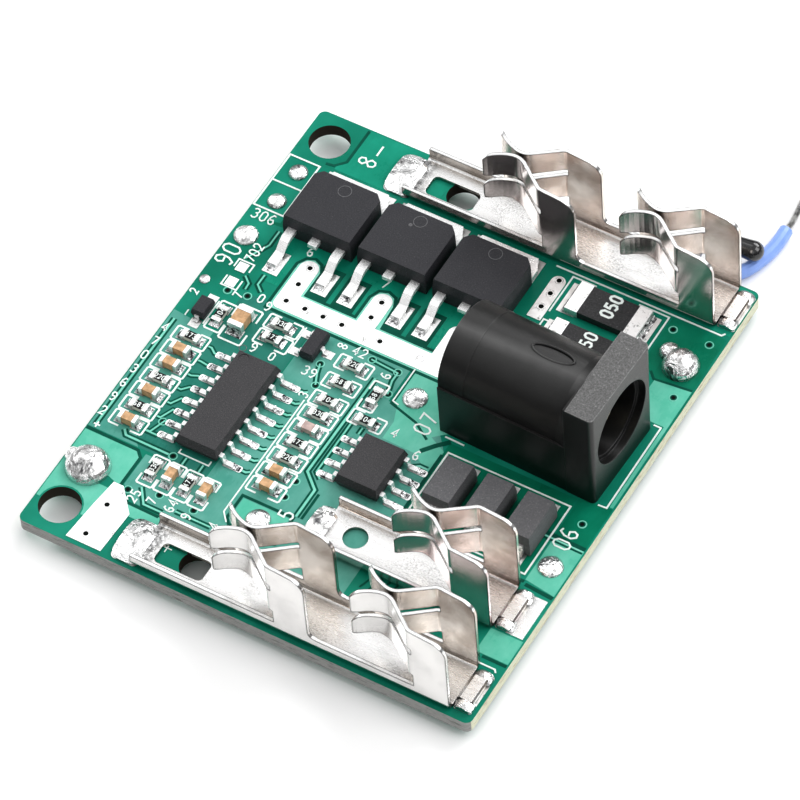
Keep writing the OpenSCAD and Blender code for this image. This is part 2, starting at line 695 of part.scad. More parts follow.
// Upper and lower finger in X and Z: full height to the pinch point, narrower along the curved
// lip, with round corners at the tip
module finger_tongue(z0, z1, lip_z0, lip_z1) {
    x = -finger_nose_x;
    tip = -finger_reach - eps;
    polygon([[1, z0], [1, z1], [0, z1], [x - 0.6, lip_z1], [x - 0.6, lip_z0], [x + 0.3, z0]]);
    translate([tip + finger_tip_r, lip_z0])
        square([x - 0.6 + eps - tip - finger_tip_r, lip_z1 - lip_z0]);
    translate([tip, lip_z0 + finger_tip_r]) square([1, lip_z1 - lip_z0 - 2 * finger_tip_r]);
    for (z = [lip_z0 + finger_tip_r, lip_z1 - finger_tip_r]) translate([tip + finger_tip_r, z])
        circle(finger_tip_r);
}
module finger_tongues() {
    lower_top = lower_finger_z + lower_finger_h;
    finger_tongue(upper_finger_z, finger_top, upper_finger_z, finger_top + finger_lip_rise);
    finger_tongue(lower_finger_z, lower_top, lower_finger_z + finger_lip_cut, lower_top);
}

// Bent strip of a finger seen from above: steps of [x, y, heading]
function forward(s, d) = [s[0] + d * cos(s[2]), s[1] + d * sin(s[2]), s[2]];
function turned(s, r, a) = [
    s[0] - sign(a) * r * (sin(s[2]) - sin(s[2] + a)),
    s[1] + sign(a) * r * (cos(s[2]) - cos(s[2] + a)),
    s[2] + a
];
function bend(s, r, a, steps = 6) = [for (i = [1 : steps]) turned(s, r, a * i / steps)];
function side_of(path, d) = [for (s = path) [s[0] - d * sin(s[2]), s[1] + d * cos(s[2])]];
function flip(list) = [for (i = [len(list) - 1 : -1 : 0]) list[i]];
module finger_strip() {
    root = [[0.1, wall_y, 180], [0, wall_y, 180]];
    inward = bend(root[1], finger_root_r, finger_in_a);
    run_end = forward(inward[len(inward) - 1], finger_run);
    nose = bend(run_end, finger_nose_r, -finger_in_a - finger_out_a, 8);
    lip = bend(nose[len(nose) - 1], finger_lip_r, finger_out_a - finger_tip_a, 6);
    path = concat(root, inward, [run_end], nose, lip);
    polygon(concat(side_of(path, clip_t / 2), flip(side_of(path, -clip_t / 2))));
}

// One side wall of a spring station, with its bend line at x = 0, on the +Y side
module station_wall() difference() {
    union() {
        translate([0, wall_y, 0]) along_y(clip_t) ear_outline();
        intersection() {
            linear_extrude(finger_top + finger_lip_rise) finger_strip();
            along_y(2 * clip_w) finger_tongues();
        }
    }
    translate([0, wall_y, 0]) along_y(2 * clip_t) finger_slots();
}

// Rounded foot between an ear's right edge and the flange beyond it
module ear_heel() polygon([
    [-eps, flange_h - 0.3], [-eps, flange_h + 0.65], [0.08, flange_h + 0.3],
    [0.25, flange_h + 0.1], [0.65, flange_h], [0.65, flange_h - 0.3]
]);

module clip(l, stations) {
    clip_channel(l);
    for (x = stations, s = [-1, 1]) if (x < l) translate([x, s * wall_y, 0]) along_y(clip_t) ear_heel();
    for (x = stations) translate([x - ear_l, 0, 0]) {
        station_wall();
        mirror([0, 1, 0]) station_wall();
    }
}

module long_clip() difference() {
    clip(long_clip_l, long_stations);
    translate([window_x + window_l / 2, window_shift, -eps])
        linear_extrude(clip_t + 2 * eps) rounded_outline(window_l, window_w, window_r);
}

module short_clip() difference() {
    clip(short_clip_l, short_stations);
    translate([clip_hole_x, 0, -eps]) cylinder(r = clip_hole_r, h = clip_t + 2 * eps);
}

// Where a clip stands
module at_clip(at) translate([at[0], at[1], seat_z]) children();

module positive_terminal_clip() color("#c9c4bd") at_clip(positive_clip_at) long_clip();
module negative_terminal_clip() color("#c9c4bd") at_clip(negative_clip_at) long_clip();
module signal_terminal_clip() color("#c9c4bd") at_clip(signal_clip_at) short_clip();

tab_pad = [tab_l + 0.15, 3.9];             // pad at a clip's right end
tongue_pad_w = clip_w - 0.6;               // pad at a clip's left end, nearer its front wall
tongue_pad_y = -0.3;
tongue_pad_out = [1.4, 0.7];               // pad beyond a long and a short clip's tongue
function tongue_pad_l(l) = tongue_l + (l == short_clip_l ? tongue_pad_out[1] : tongue_pad_out[0]);
module clip_pad_outlines(l) {
    reach = tongue_pad_l(l);
    translate([0.5 - reach / 2, tongue_pad_y]) rounded_outline(reach, tongue_pad_w, 0.5);
    translate([l + tab_pad[0] / 2 + 0.05, 0]) rounded_outline(tab_pad[0], tab_pad[1], 0.2);
}

// Solder over a clip's tongue and round its tab
module solder_at_clip(at, l) at_clip(at) difference() {
    union() {
        translate([0.5 - tongue_pad_l(l) / 2, tongue_pad_y, 0])
            solder_pillow(tongue_pad_l(l), tongue_pad_w, tongue_solder_h, 0.8);
        translate([l + tab_l / 2, 0, 0]) linear_extrude(tab_rise)
            square([tab_l - 0.1, tab_w + 0.4], center = true);
        for (s = [-1, 1]) translate([l + tab_pad[0] / 2 + 0.05, s * (tab_w / 2 + 0.2), 0])
            solder_pillow(tab_pad[0], 1.1, tab_solder_h, 0.3);
    }
    clip_channel(l);
}

module clip_solder() color("#b9bcc0") {
    solder_at_clip(positive_clip_at, long_clip_l);
    solder_at_clip(negative_clip_at, long_clip_l);
    solder_at_clip(signal_clip_at, short_clip_l);
}

// ---------------------------------------------------------------- power jack

module on_jack(z) translate([jack_at[0], jack_at[1], z]) rotate(jack_skew) children();

// Section of the jack's body across Y and Z: flat sides under a round top
module barrel_section(r) {
    translate([-r, 0]) square([2 * r, jack_axis_h]);
    translate([0, jack_axis_h]) circle(r);
}

// Space that a contact strip needs in the housing
module strip_space(x0, x1, w, z0, z1)
    translate([x0 - jack_play, -w / 2 - jack_play, z0])
        cube([x1 - x0 + 2 * jack_play, w + 2 * jack_play, z1 - z0]);

jack_step = 0.05;                    // rear collar beyond the barrel
jack_corner_r = 0.4;                 // upright front edges of the flange
jack_case_w = jack_w - 0.1;          // box under the barrel
jack_lug_top = jack_axis_h + 2;
spring_rise = 0.45;                  // how far the sleeve spring's bow enters the socket
socket_floor = jack_axis_h - jack_bore_r;

// Front flange seen from above, with rounded front edges
module flange_outline() {
    y = jack_w / 2;
    translate([-jack_flange_t, -y]) square([jack_flange_t - jack_corner_r, jack_w]);
    translate([-1, -y + jack_corner_r]) square([1, jack_w - 2 * jack_corner_r]);
    for (s = [-1, 1]) translate([-jack_corner_r, s * (y - jack_corner_r)]) circle(jack_corner_r);
}

module jack_housing() color("#232325") on_jack(board_t) difference() {
    union() {
        linear_extrude(jack_h) flange_outline();
        translate([-jack_l, -jack_case_w / 2, 0]) cube([jack_l - 1, jack_case_w, jack_axis_h - 0.1]);
        translate([-jack_l, 0, 0]) rotate([90, 0, 90])
            linear_extrude(jack_l - jack_flange_t + eps) barrel_section(jack_barrel_r);
        translate([-jack_l, 0, 0]) rotate([90, 0, 90])
            linear_extrude(jack_collar_l) barrel_section(jack_barrel_r + jack_step);
        translate([-jack_flange_t - 1, 0, jack_axis_h]) rotate([0, 90, 0])
            cylinder(r1 = jack_barrel_r - 0.01, r2 = jack_case_w / 2, h = 1.1);
    }
    translate([-jack_bore_l, 0, jack_axis_h]) rotate([0, 90, 0])
        cylinder(r = jack_bore_r, h = jack_bore_l + 1);
    translate([-jack_mouth_l, 0, jack_axis_h]) rotate([0, 90, 0])
        cylinder(r = jack_mouth_r, h = jack_mouth_l + 1);
    translate([-jack_l, 0, jack_axis_h]) rotate([0, 90, 0])
        cylinder(r = jack_shank_r + jack_play, h = jack_l / 2);
    // recess for the lug of the centre pin, open at the rear
    strip_space(-jack_l - 1, jack_lug_x, jack_strip_w, -1, jack_lug_top + jack_play);
    // channel for the sleeve spring, open into the socket
    strip_space(jack_spring_x - jack_strip_t, -3, jack_strip_w, -1, socket_floor + 1);
    // pocket for the switch contact in the side wall
    translate([jack_switch_x - jack_strip_w / 2 - jack_play,
        jack_barrel_r - jack_strip_t - jack_play, -1])
        cube([jack_strip_w + 2 * jack_play, 1, jack_axis_h]);
}

lug_tip = -board_t - joint_drop + 0.1;     // lower end of a lug, from the board's top

// Free pin with a thinner shank that sits in the housing and the lug, turned from one profile
module jack_center_pin() color("#c8b98a") on_jack(board_t) {
    nose = jack_pin_r * 0.4;
    step = -jack_lug_x - jack_bore_l;          // where the shank meets the pin
    tip = -jack_lug_x - jack_pin_setback;
    translate([jack_lug_x, 0, jack_axis_h]) rotate([0, 90, 0]) rotate_extrude() polygon([
        [0, 0], [jack_shank_r, 0], [jack_shank_r, step], [jack_pin_r, step],
        [jack_pin_r, tip - nose], [jack_pin_r - nose, tip], [0, tip]
    ]);
}

// Lug behind the pin, through the board
module jack_pin_lug() color("#cfcfc8") on_jack(board_t)
    translate([jack_lug_x - jack_strip_t, -jack_strip_w / 2, lug_tip])
        cube([jack_strip_t, jack_strip_w, jack_lug_top - lug_tip]);

// Spring strip in X and Z: a lug through the board, a floor run and a bow into the socket
module spring_outline() {
    z = socket_floor - 0.75;
    top = socket_floor + spring_rise;
    polygon([
        [jack_spring_x - jack_strip_t / 2, lug_tip],
        [jack_spring_x + jack_strip_t / 2, lug_tip],
        [jack_spring_x + jack_strip_t / 2, z],
        [jack_spring_x + 2.4, top - jack_strip_t],
        [-4.3, top - jack_strip_t],
        [-3.4, z],
        [-3.1, z + jack_strip_t],
        [-4.1, top],
        [jack_spring_x + 2.2, top],
        [jack_spring_x - jack_strip_t / 2, z + jack_strip_t]
    ]);
}
module jack_sleeve_spring() color("#cfcfc8") on_jack(board_t) along_y(jack_strip_w) spring_outline();

module jack_switch_contact() color("#cfcfc8") on_jack(board_t)
    translate([jack_switch_x - jack_strip_w / 2, jack_barrel_r - jack_strip_t, lug_tip])
        cube([jack_strip_w, jack_strip_t, jack_axis_h - 1.2 - lug_tip]);

// Solder round one lug under the board
module lug_solder(at, l, w) translate(at) difference() {
    mirror([0, 0, 1]) solder_pillow(l + 1.3, w + 1.3, joint_drop, 0.7);
    translate([-l / 2, -w / 2, -joint_drop - eps]) cube([l, w, joint_drop + 1]);
}
module jack_pin_solder() color("#b9bcc0") on_jack(0) {
    lug_solder([jack_lug_x - jack_strip_t / 2, 0, 0], jack_strip_t, jack_strip_w);
    lug_solder([jack_spring_x, 0, 0], jack_strip_t, jack_strip_w);
    lug_solder([jack_switch_x, jack_barrel_r - jack_strip_t / 2, 0], jack_strip_w, jack_strip_t);
}

// ---------------------------------------------------------------- power transistors

module at_fet(i) translate([fet_at[0] + i * fet_pitch, fet_at[1], seat_z]) children();

// Body seen from above, with its front face on y = 0 and its corners cut beside the tab
module fet_outline() polygon([
    [-fet_w / 2, 0], [fet_w / 2, 0], [fet_w / 2, fet_l - fet_corner], [fet_w / 2 - fet_corner, fet_l],
    [-fet_w / 2 + fet_corner, fet_l], [-fet_w / 2, fet_l - fet_corner]
]);

fet_draft = 0.12;
fet_split = fet_lead_z + fet_lead_t;  // height of the parting line
module mosfet_body(i) color("#2c2c30") at_fet(i) difference() {
    union() {
        linear_extrude(fet_split) fet_outline();
        intersection() {
            linear_extrude(fet_h) fet_outline();
            translate([0, fet_l / 2, fet_split - eps])
                drafted_block(fet_w, fet_l, fet_h - fet_split + eps, fet_draft);
        }
    }
    fet_tab_block();
}

// Tab seen from above: full width under the corner cuts, narrower at its end
module fet_tab_block() {
    side = fet_w / 2 - 0.1;
    front = fet_l * 0.2;
    translate([0, 0, -eps]) linear_extrude(fet_lead_t + eps) polygon([
        [-side, fet_l - fet_corner - 0.3], [-side + 0.5, front], [side - 0.5, front],
            [side, fet_l - fet_corner - 0.3],
        [side, fet_l + 0.3], [side - 0.5, fet_l + fet_tab_out],
            [-side + 0.5, fet_l + fet_tab_out], [-side, fet_l + 0.3]
    ]);
}
module mosfet_tab(i) color("#cdd0d4") at_fet(i) intersection() {
    fet_tab_block();
    translate([-fet_w, -1, 0]) cube([2 * fet_w, 2 * fet_l, fet_lead_t]);
}

// Outer lead in Y and Z: out of the body, down and along its pad
module fet_lead_outline() {
    z = fet_lead_z;
    t = fet_lead_t * 0.8;
    polygon([
        [0, z], [0, z + t], [-1, z + t], [-1.35, z + t - 0.15], [-2.05, t], [-fet_lead_reach, t],
        [-fet_lead_reach, 0], [-2.3, 0], [-2.45, 0.1], [-1.75, z * 0.72], [-1.1, z]
    ]);
}
module mosfet_leads(i) color("#cdd0d4") at_fet(i) {
    for (s = [-1, 1]) translate([s * fet_lead_span / 2 - fet_lead_w / 2, 0, 0])
        rotate([90, 0, 90]) linear_extrude(fet_lead_w) fet_lead_outline();
    translate([-fet_lead_w / 2, -0.8, fet_lead_z]) cube([fet_lead_w, 0.8, fet_lead_t * 0.8]);
}

// Pads of a power transistor: one wide pad under the tab and two under the leads
module fet_pad_outlines() {
    translate([-fet_w / 2 + 0.05, fet_l * 0.2]) square([fet_w - 0.1, fet_l * 0.8 + fet_tab_out + 0.2]);
    for (s = [-1, 1]) translate([s * fet_lead_span / 2 - 0.55, -fet_lead_reach - 0.7])
        square([1.4, 2.4]);
}

// ---------------------------------------------------------------- gull-wing chips

// Lead in X and Z on the +X side: out of the body, down and along its pad
module gull_outline(body_w, span, z, t, foot) {
    x0 = body_w / 2;
    x3 = span / 2;
    x2 = x3 - foot;
    x1 = (x0 + x2) / 2;
    polygon([
        [x0, z], [x1, z], [x2 - 0.1, 0], [x3, 0], [x3, t], [x2, t], [x1 + t * 0.6, z + t], [x0, z + t]
    ]);
}

module gull_leads(body_w, span, count, pitch, z, w, t, foot)
    for (s = [-1, 1], i = [0 : count - 1])
        translate([0, (i - (count - 1) / 2) * pitch, 0]) mirror([s < 0 ? 1 : 0, 0, 0])
            along_y(w) gull_outline(body_w, span, z, t, foot);

chip_lead_z = chip_standoff + (chip_h - chip_standoff) / 2 - lead_t / 2;
dimple_r = 0.45;

module control_chip_body() color("#3b3b40") translate([control_at[0], control_at[1], seat_z])
    difference() {
    translate([0, 0, chip_standoff]) moulded_body(control_w, control_l, chip_h - chip_standoff, 0.25);
    translate([-control_w / 2 + 0.95, control_l / 2 - 0.8, chip_h - 0.06])
        cylinder(r = dimple_r, h = 1);
}
module control_chip_leads() color("#d6d6d6") translate([control_at[0], control_at[1], seat_z])
    gull_leads(control_w, lead_span, 8, lead_pitch, chip_lead_z, lead_w, lead_t, lead_foot);

module switch_chip_body() color("#2c2c30") translate([switch_at[0], switch_at[1], seat_z])
    translate([0, 0, chip_standoff]) moulded_body(switch_w, switch_l, chip_h - chip_standoff, 0.2);
module switch_chip_leads() color("#d6d6d6") translate([switch_at[0], switch_at[1], seat_z])
    gull_leads(switch_w, lead_span, 4, lead_pitch, chip_lead_z, lead_w, lead_t, lead_foot);

// ---------------------------------------------------------------- small semiconductors

sot_lead_w = 0.42;
sot_lead_t = 0.14;
sot_lead_z = sot_h * 0.5 - sot_lead_t / 2;

module small_transistor_body() color("#2c2c30") translate([sot_at[0], sot_at[1], seat_z + 0.05])
    moulded_body(sot_w, sot_l, sot_h - 0.05, 0.1);
module small_transistor_leads() color("#d6d6d6") translate([sot_at[0], sot_at[1], seat_z]) {
    for (s = [-1, 1]) translate([0, s * sot_lead_pitch / 2, 0]) mirror([1, 0, 0])
        along_y(sot_lead_w) gull_outline(sot_w, sot_span, sot_lead_z, sot_lead_t, 0.35);
    along_y(sot_lead_w) gull_outline(sot_w, sot_span, sot_lead_z, sot_lead_t, 0.35);
}
module sot_pad_outlines() {
    for (s = [-1, 1]) translate([-sot_span / 2, s * sot_lead_pitch / 2])
        square([0.9, 0.75], center = true);
    translate([sot_span / 2, 0]) square([0.9, 0.75], center = true);
}

module small_diode_body() color("#26262a") translate([sod_at[0], sod_at[1], seat_z + 0.05])
    moulded_body(sod_w, sod_l, sod_h - 0.05, 0.1);
module small_diode_leads() color("#d6d6d6") translate([sod_at[0], sod_at[1], seat_z])
    for (a = [90, 270]) rotate(a) along_y(0.4) gull_outline(sod_l, sod_span, sod_h * 0.4, 0.14, 0.3);

// ---------------------------------------------------------------- power diodes

diode_lead_top = diode_h * 0.55;

module at_diode(i) translate([diode_at[0] + i * diode_pitch, diode_at[1], seat_z]) children();
module power_diode_body(i) color("#3a3a3e") at_diode(i) difference() {
    union() {
        translate([0, 0, 0.08]) linear_extrude(diode_lead_top - 0.08)
            square([diode_w, diode_l], center = true);
        translate([0, 0, diode_lead_top])
            drafted_block(diode_w, diode_l, diode_h - diode_lead_top, 0.14);
    }
    for (s = [-1, 1]) diode_lead_strip(s);
}

// Strip that comes out of an end, runs down it and turns in under the body
diode_foot = 1.1;                    // length of a lead's foot under the body
module diode_lead_strip(s) mirror([0, s < 0 ? 1 : 0, 0]) {
    y = diode_l / 2;
    t = diode_lead_t;
    translate([-diode_lead_w / 2, 0, 0]) {
        translate([0, y - 0.3, diode_lead_top - t]) cube([diode_lead_w, 0.3 + t, t]);
        translate([0, y, 0]) cube([diode_lead_w, t, diode_lead_top]);
        translate([0, y - diode_foot, 0]) cube([diode_lead_w, diode_foot + t, t]);
    }
}
module power_diode_leads() color("#cdd0d4")
    for (i = [0 : 2], s = [-1, 1]) at_diode(i) diode_lead_strip(s);

// ---------------------------------------------------------------- two-ended chips

// Core of a chip of length l: a block that its end caps wrap
module chip_core(l, w, h)
    translate([-l / 2 + cap_t, -w / 2 + cap_t, cap_t])
        cube([l - 2 * cap_t, w - 2 * cap_t, h - 2 * cap_t]);

// The two end caps of a chip: five-sided cups over the ends of its core
module end_caps(l, w, h, cap) for (s = [0, 1]) mirror([s, 0, 0]) difference() {
    translate([-l / 2, -w / 2, 0]) cube([cap, w, h]);
    chip_core(l, w, h);
}

module at_chip(at) translate([at[0], at[1], seat_z]) rotate(at[2]) children();
module at_shunt(i) translate([shunt_at[0], shunt_at[1] - i * shunt_pitch, seat_z]) children();

module shunt_resistor_body(i) color("#2b2b2e") at_shunt(i) chip_core(shunt_l, shunt_w, shunt_h);
module shunt_resistor_caps() color("#d9d9d9") for (i = [0, 1]) at_shunt(i)
    end_caps(shunt_l, shunt_w, shunt_h, shunt_cap);

module chip_resistor_bodies() color("#e6e4de") for (p = resistors) at_chip(p)
    chip_core(small_l, small_w, resistor_h);
module chip_resistor_caps() color("#d9d9d9") for (p = resistors) at_chip(p)
    end_caps(small_l, small_w, resistor_h, small_cap);

// Black glaze on the middle of a resistor's top
module chip_resistor_glaze() color("#1f1f22") {
    glaze_l = small_l - 2 * small_cap - 0.22;
    for (p = resistors) at_chip(p)
        translate([-glaze_l / 2, -small_w / 2 + cap_t, resistor_h - cap_t])
            cube([glaze_l, small_w - 2 * cap_t, cap_t]);
}

module chip_capacitor_bodies() color("#b98e5f") for (p = capacitors) at_chip(p)
    chip_core(small_l, small_w, capacitor_h);
module chip_capacitor_caps() color("#d9d9d9") for (p = capacitors) at_chip(p)
    end_caps(small_l, small_w, capacitor_h, small_cap);

module large_capacitor_body() color("#b98e5f") at_chip(large_capacitor)
    chip_core(large_l, large_w, large_h);
module large_capacitor_caps() color("#d9d9d9") at_chip(large_capacitor)
    end_caps(large_l, large_w, large_h, large_cap);

module ferrite_chip_body() color("#c9b3ad") at_chip(ferrite) chip_core(small_l, small_w, ferrite_h);
module ferrite_chip_caps() color("#d9d9d9") at_chip(ferrite)
    end_caps(small_l, small_w, ferrite_h, small_cap);

// ---------------------------------------------------------------- solder of the components

module end_fillets(l, w, rise)
    for (s = [0, 1]) mirror([s, 0, 0]) translate([l / 2, 0, 0])
        along_y(w - 0.04) fillet_wedge(chip_fillet, rise);

// Hollow solder fillet in X and Z against an end at x = 0, with its foot towards +X
module fillet_wedge(foot, rise)
    polygon([[0, 0], [foot, 0], [foot * 0.62, rise * 0.16], [foot * 0.25, rise * 0.5], [0, rise]]);

module component_solder() color("#c3c6ca") {
    for (p = resistors) at_chip(p) end_fillets(small_l, small_w, resistor_h * 0.85);
    for (p = concat(capacitors, [ferrite])) at_chip(p) end_fillets(small_l, small_w, ferrite_h * 0.7);
    at_chip(large_capacitor) end_fillets(large_l, large_w, large_h * 0.6);
    for (i = [0, 1]) at_shunt(i) end_fillets(shunt_l, shunt_w, shunt_h * 0.7);
    for (i = [0 : 2]) at_fet(i) for (s = [-1, 1])
        translate([s * fet_lead_span / 2, -fet_lead_reach, 0]) rotate(-90)
            along_y(fet_lead_w) fillet_wedge(0.55, fet_lead_t * 0.7);
    for (c = [[control_at, 8], [switch_at, 4]], s = [0, 1], k = [0 : c[1] - 1])
        translate([c[0][0], c[0][1] + (k - (c[1] - 1) / 2) * lead_pitch, seat_z]) mirror([s, 0, 0])
            translate([lead_span / 2, 0, 0]) along_y(lead_w + 0.06) fillet_wedge(0.7, lead_t * 1.2);
    for (i = [0 : 2], s = [0, 1]) at_diode(i) mirror([0, s, 0])
        translate([0, diode_l / 2 + diode_lead_t, 0]) rotate(90) along_y(diode_lead_w)
            fillet_wedge(0.5, 0.5);
}

// ---------------------------------------------------------------- through-hole joints

module battery_plus_joint() color("#b9bcc0") translate(plus_joint) {
    through_joint(plus_joint_r, plus_joint_h);
    solder_lump(plus_blob, 0.75, 0.95);
}
module battery_minus_joint() color("#b9bcc0") translate(minus_joint) {
    through_joint(minus_joint_r, minus_joint_h);
    solder_lump(minus_blob, 0.9, 0.85);
}
module cell_tap_joints() color("#b9bcc0") {
    for (p = cell_taps) translate(p) through_joint(tap_joint_r, tap_joint_h);
    translate(edge_joint) through_joint(edge_joint_r, 0.2, joint_drop / 2);
}
module thermistor_joints() color("#b9bcc0") difference() {
    for (p = sensor_joints) translate(p) through_joint(sensor_joint_r, sensor_joint_h);
    translate(joint_entry - [0.12, 0, 0]) rotate([0, 90, 4]) cylinder(r = wire_r + 0.14, h = 2);
}

// ---------------------------------------------------------------- thermistor

// Half outline of the bead from its tail to its round tip, along its axis
module bead_outline() {
    tip = [for (a = [0 : 10 : 90]) [bead_r * cos(a), bead_l - bead_r + bead_r * sin(a)]];
    polygon(concat([[0, 0], [bead_tail_r, 0], [bead_tail_r + 0.12, 0.35]], tip));
}
module thermistor_bead() color("#17171a")
    translate([tail_x, tail_mid_y, bead_z]) rotate([0, 0, bead_a]) rotate([0, 90, 0])
        rotate_extrude() bead_outline();

module thermistor_leads() color("#8d8f92") {
    wire_sweep(smoothed(board_lead_route, route_steps), wire_r);
    wire_sweep(smoothed(free_lead_route, route_steps), wire_r);
}

module thermistor_sleeve() color("#6f8fe0")
    tube_sweep(smoothed(free_lead_route, route_steps), sleeve_r, wire_r + 0.05, 12,
        sleeve_ends[0] * route_steps, sleeve_ends[1] * route_steps);

// ---------------------------------------------------------------- nodes

circuit_board();
tinned_pads();
positive_terminal_clip();
negative_terminal_clip();
signal_terminal_clip();
clip_solder();
jack_housing();
jack_center_pin();
jack_pin_lug();
jack_sleeve_spring();
jack_switch_contact();
jack_pin_solder();
mosfet_body(0);  // mosfet_body_1
mosfet_body(1);  // mosfet_body_2
mosfet_body(2);  // mosfet_body_3
mosfet_tab(0);  // mosfet_tab_1
mosfet_tab(1);  // mosfet_tab_2
mosfet_tab(2);  // mosfet_tab_3
mosfet_leads(0);  // mosfet_leads_1
mosfet_leads(1);  // mosfet_leads_2
mosfet_leads(2);  // mosfet_leads_3
control_chip_body();
control_chip_leads();
switch_chip_body();
switch_chip_leads();
small_transistor_body();
small_transistor_leads();
small_diode_body();
small_diode_leads();
power_diode_body(0);  // power_diode_body_1
power_diode_body(1);  // power_diode_body_2
power_diode_body(2);  // power_diode_body_3
power_diode_leads();
shunt_resistor_body(0);  // shunt_resistor_body_1
shunt_resistor_body(1);  // shunt_resistor_body_2
shunt_resistor_caps();
chip_resistor_bodies();
chip_resistor_glaze();
chip_resistor_caps();
chip_capacitor_bodies();
chip_capacitor_caps();
large_capacitor_body();
large_capacitor_caps();
ferrite_chip_body();
ferrite_chip_caps();
component_solder();
battery_plus_joint();
battery_minus_joint();
cell_tap_joints();
thermistor_joints();
thermistor_bead();
thermistor_leads();
thermistor_sleeve();
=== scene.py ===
"""Dresses the battery management board: materials, printed marks, tracks and a studio."""
import math

import bpy
from mathutils import Matrix, Vector


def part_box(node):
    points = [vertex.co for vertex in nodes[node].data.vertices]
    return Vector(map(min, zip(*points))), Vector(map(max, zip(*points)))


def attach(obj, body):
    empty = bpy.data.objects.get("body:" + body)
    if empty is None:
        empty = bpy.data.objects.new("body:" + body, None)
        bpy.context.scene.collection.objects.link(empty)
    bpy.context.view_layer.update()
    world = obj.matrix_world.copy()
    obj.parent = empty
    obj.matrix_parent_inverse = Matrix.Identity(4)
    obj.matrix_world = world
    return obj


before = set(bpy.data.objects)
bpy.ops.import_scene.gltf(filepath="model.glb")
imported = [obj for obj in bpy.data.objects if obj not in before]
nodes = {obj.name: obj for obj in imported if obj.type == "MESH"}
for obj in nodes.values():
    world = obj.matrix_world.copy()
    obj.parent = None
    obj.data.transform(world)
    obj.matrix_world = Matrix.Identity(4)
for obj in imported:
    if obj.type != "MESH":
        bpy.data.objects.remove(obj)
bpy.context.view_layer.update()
scene = bpy.context.scene

MM = 0.001
# Places in millimetres, in the frame of the CAD model
TOP = 1.2  # the board's upper face
SEAT = 1.26  # top of the tinned pads
TABLE = -0.9  # what the joints below the board stand on
MOUNT = (-18.2, 20.8)  # centre of the back mounting hole
# x, y and a little more than the radius of each hole whose walls are painted dark as shade
SHADED_HOLE_WALLS = ((*MOUNT, 2.0), (MOUNT[0], -MOUNT[1], 2.0), (-5.6, 20.95, 1.6), (-5.6, -20.75, 1.6))
CLIP_TAB_X = 18.8  # where the long clips' end tabs begin
SHORT_TAB_X = 17.9  # where the short clip's end tab begins
CLIP_TINNED_X = (-9.3, -8.4)  # solder on the clips' left ends fades out between these
CLIP_RIM_Z = 2.2  # above this, upward faces of the clips are cut rims
FLANGE_X, FLANGE_Z = 16.45, 11.8  # the jack's front flange, its upper face
BARREL_Y, BARREL_Z, BARREL_R = 4.05, 6.95, 4.15  # axis and radius of the jack's barrel, by the oval
CROWN_Y = 3.1  # the painted sheen along the barrel
OVAL_X = 12.7
ROW_Y, ROW_PITCH = -1.93, 1.57  # the left column of two-ended chips
CHIP_Y, PIN_PITCH = -6.75, 1.27  # the 16-lead chip
FET_X, FET_PITCH, FET_LEAD = -13.25, 7, 2.285  # the power transistors and their outer leads


# ------------------------------------------------ materials

def new_material(name):
    m = bpy.data.materials.new(name)
    m.use_nodes = True
    tree = m.node_tree
    tree.nodes.clear()
    out = tree.nodes.new("ShaderNodeOutputMaterial")
    shader = tree.nodes.new("ShaderNodeBsdfPrincipled")
    tree.links.new(shader.outputs[0], out.inputs[0])
    return m, tree, shader


def coordinates(tree, scale=(1, 1, 1), turn=(0, 0, 0)):
    """Object coordinates in millimetres."""
    where = tree.nodes.new("ShaderNodeTexCoord")
    place = tree.nodes.new("ShaderNodeMapping")
    place.inputs["Scale"].default_value = [1000 * s for s in scale]
    place.inputs["Rotation"].default_value = turn
    tree.links.new(where.outputs["Object"], place.inputs["Vector"])
    return place.outputs["Vector"]


def noise_at(tree, vector, scale, detail=3, rough=0.55, distortion=0):
    n = tree.nodes.new("ShaderNodeTexNoise")
    n.inputs["Scale"].default_value = scale
    n.inputs["Detail"].default_value = detail
    n.inputs["Roughness"].default_value = rough
    n.inputs["Distortion"].default_value = distortion
    tree.links.new(vector, n.inputs["Vector"])
    return n.outputs["Fac"]


def ramp(tree, value, stops):
    r = tree.nodes.new("ShaderNodeValToRGB")
    ends = r.color_ramp.elements
    while len(ends) < len(stops):
        ends.new(0.5)
    for e, (at, colour) in zip(ends, stops):
        e.position = at
        e.color = (*colour, 1)
    tree.links.new(value, r.inputs["Fac"])
    return r.outputs["Color"]


def grey(v):
    return (v, v, v)


def span(tree, value, lo, hi, frm=0.0, to=1.0):
    m = tree.nodes.new("ShaderNodeMapRange")
    m.inputs["From Min"].default_value = frm
    m.inputs["From Max"].default_value = to
    m.inputs["To Min"].default_value = lo
    m.inputs["To Max"].default_value = hi
    tree.links.new(value, m.inputs["Value"])
    return m.outputs["Result"]


def mixed(tree, factor, a, b, mode="MIX"):
    m = tree.nodes.new("ShaderNodeMix")
    m.data_type = "RGBA"
    m.blend_type = mode
    for socket, value in ((m.inputs[0], factor), (m.inputs[6], a), (m.inputs[7], b)):
        if isinstance(value, bpy.types.NodeSocket):
            tree.links.new(value, socket)
        elif isinstance(value, (int, float)):
            socket.default_value = value
        else:
            socket.default_value = (*value, 1)
    return m.outputs[2]


def math_node(tree, kind, a, b=None):
    m = tree.nodes.new("ShaderNodeMath")
    m.operation = kind
    for socket, value in ((m.inputs[0], a), (m.inputs[1], b)):
        if value is None:
            continue
        if isinstance(value, (int, float)):
            socket.default_value = value
        else:
            tree.links.new(value, socket)
    return m.outputs[0]


def product(tree, a, b):
    return math_node(tree, "MULTIPLY", a, b)


def total(tree, a, b):
    return math_node(tree, "ADD", a, b)


def over(tree, value, limit):
    """1 where a value is over a limit, else 0."""
    return math_node(tree, "GREATER_THAN", value, limit)


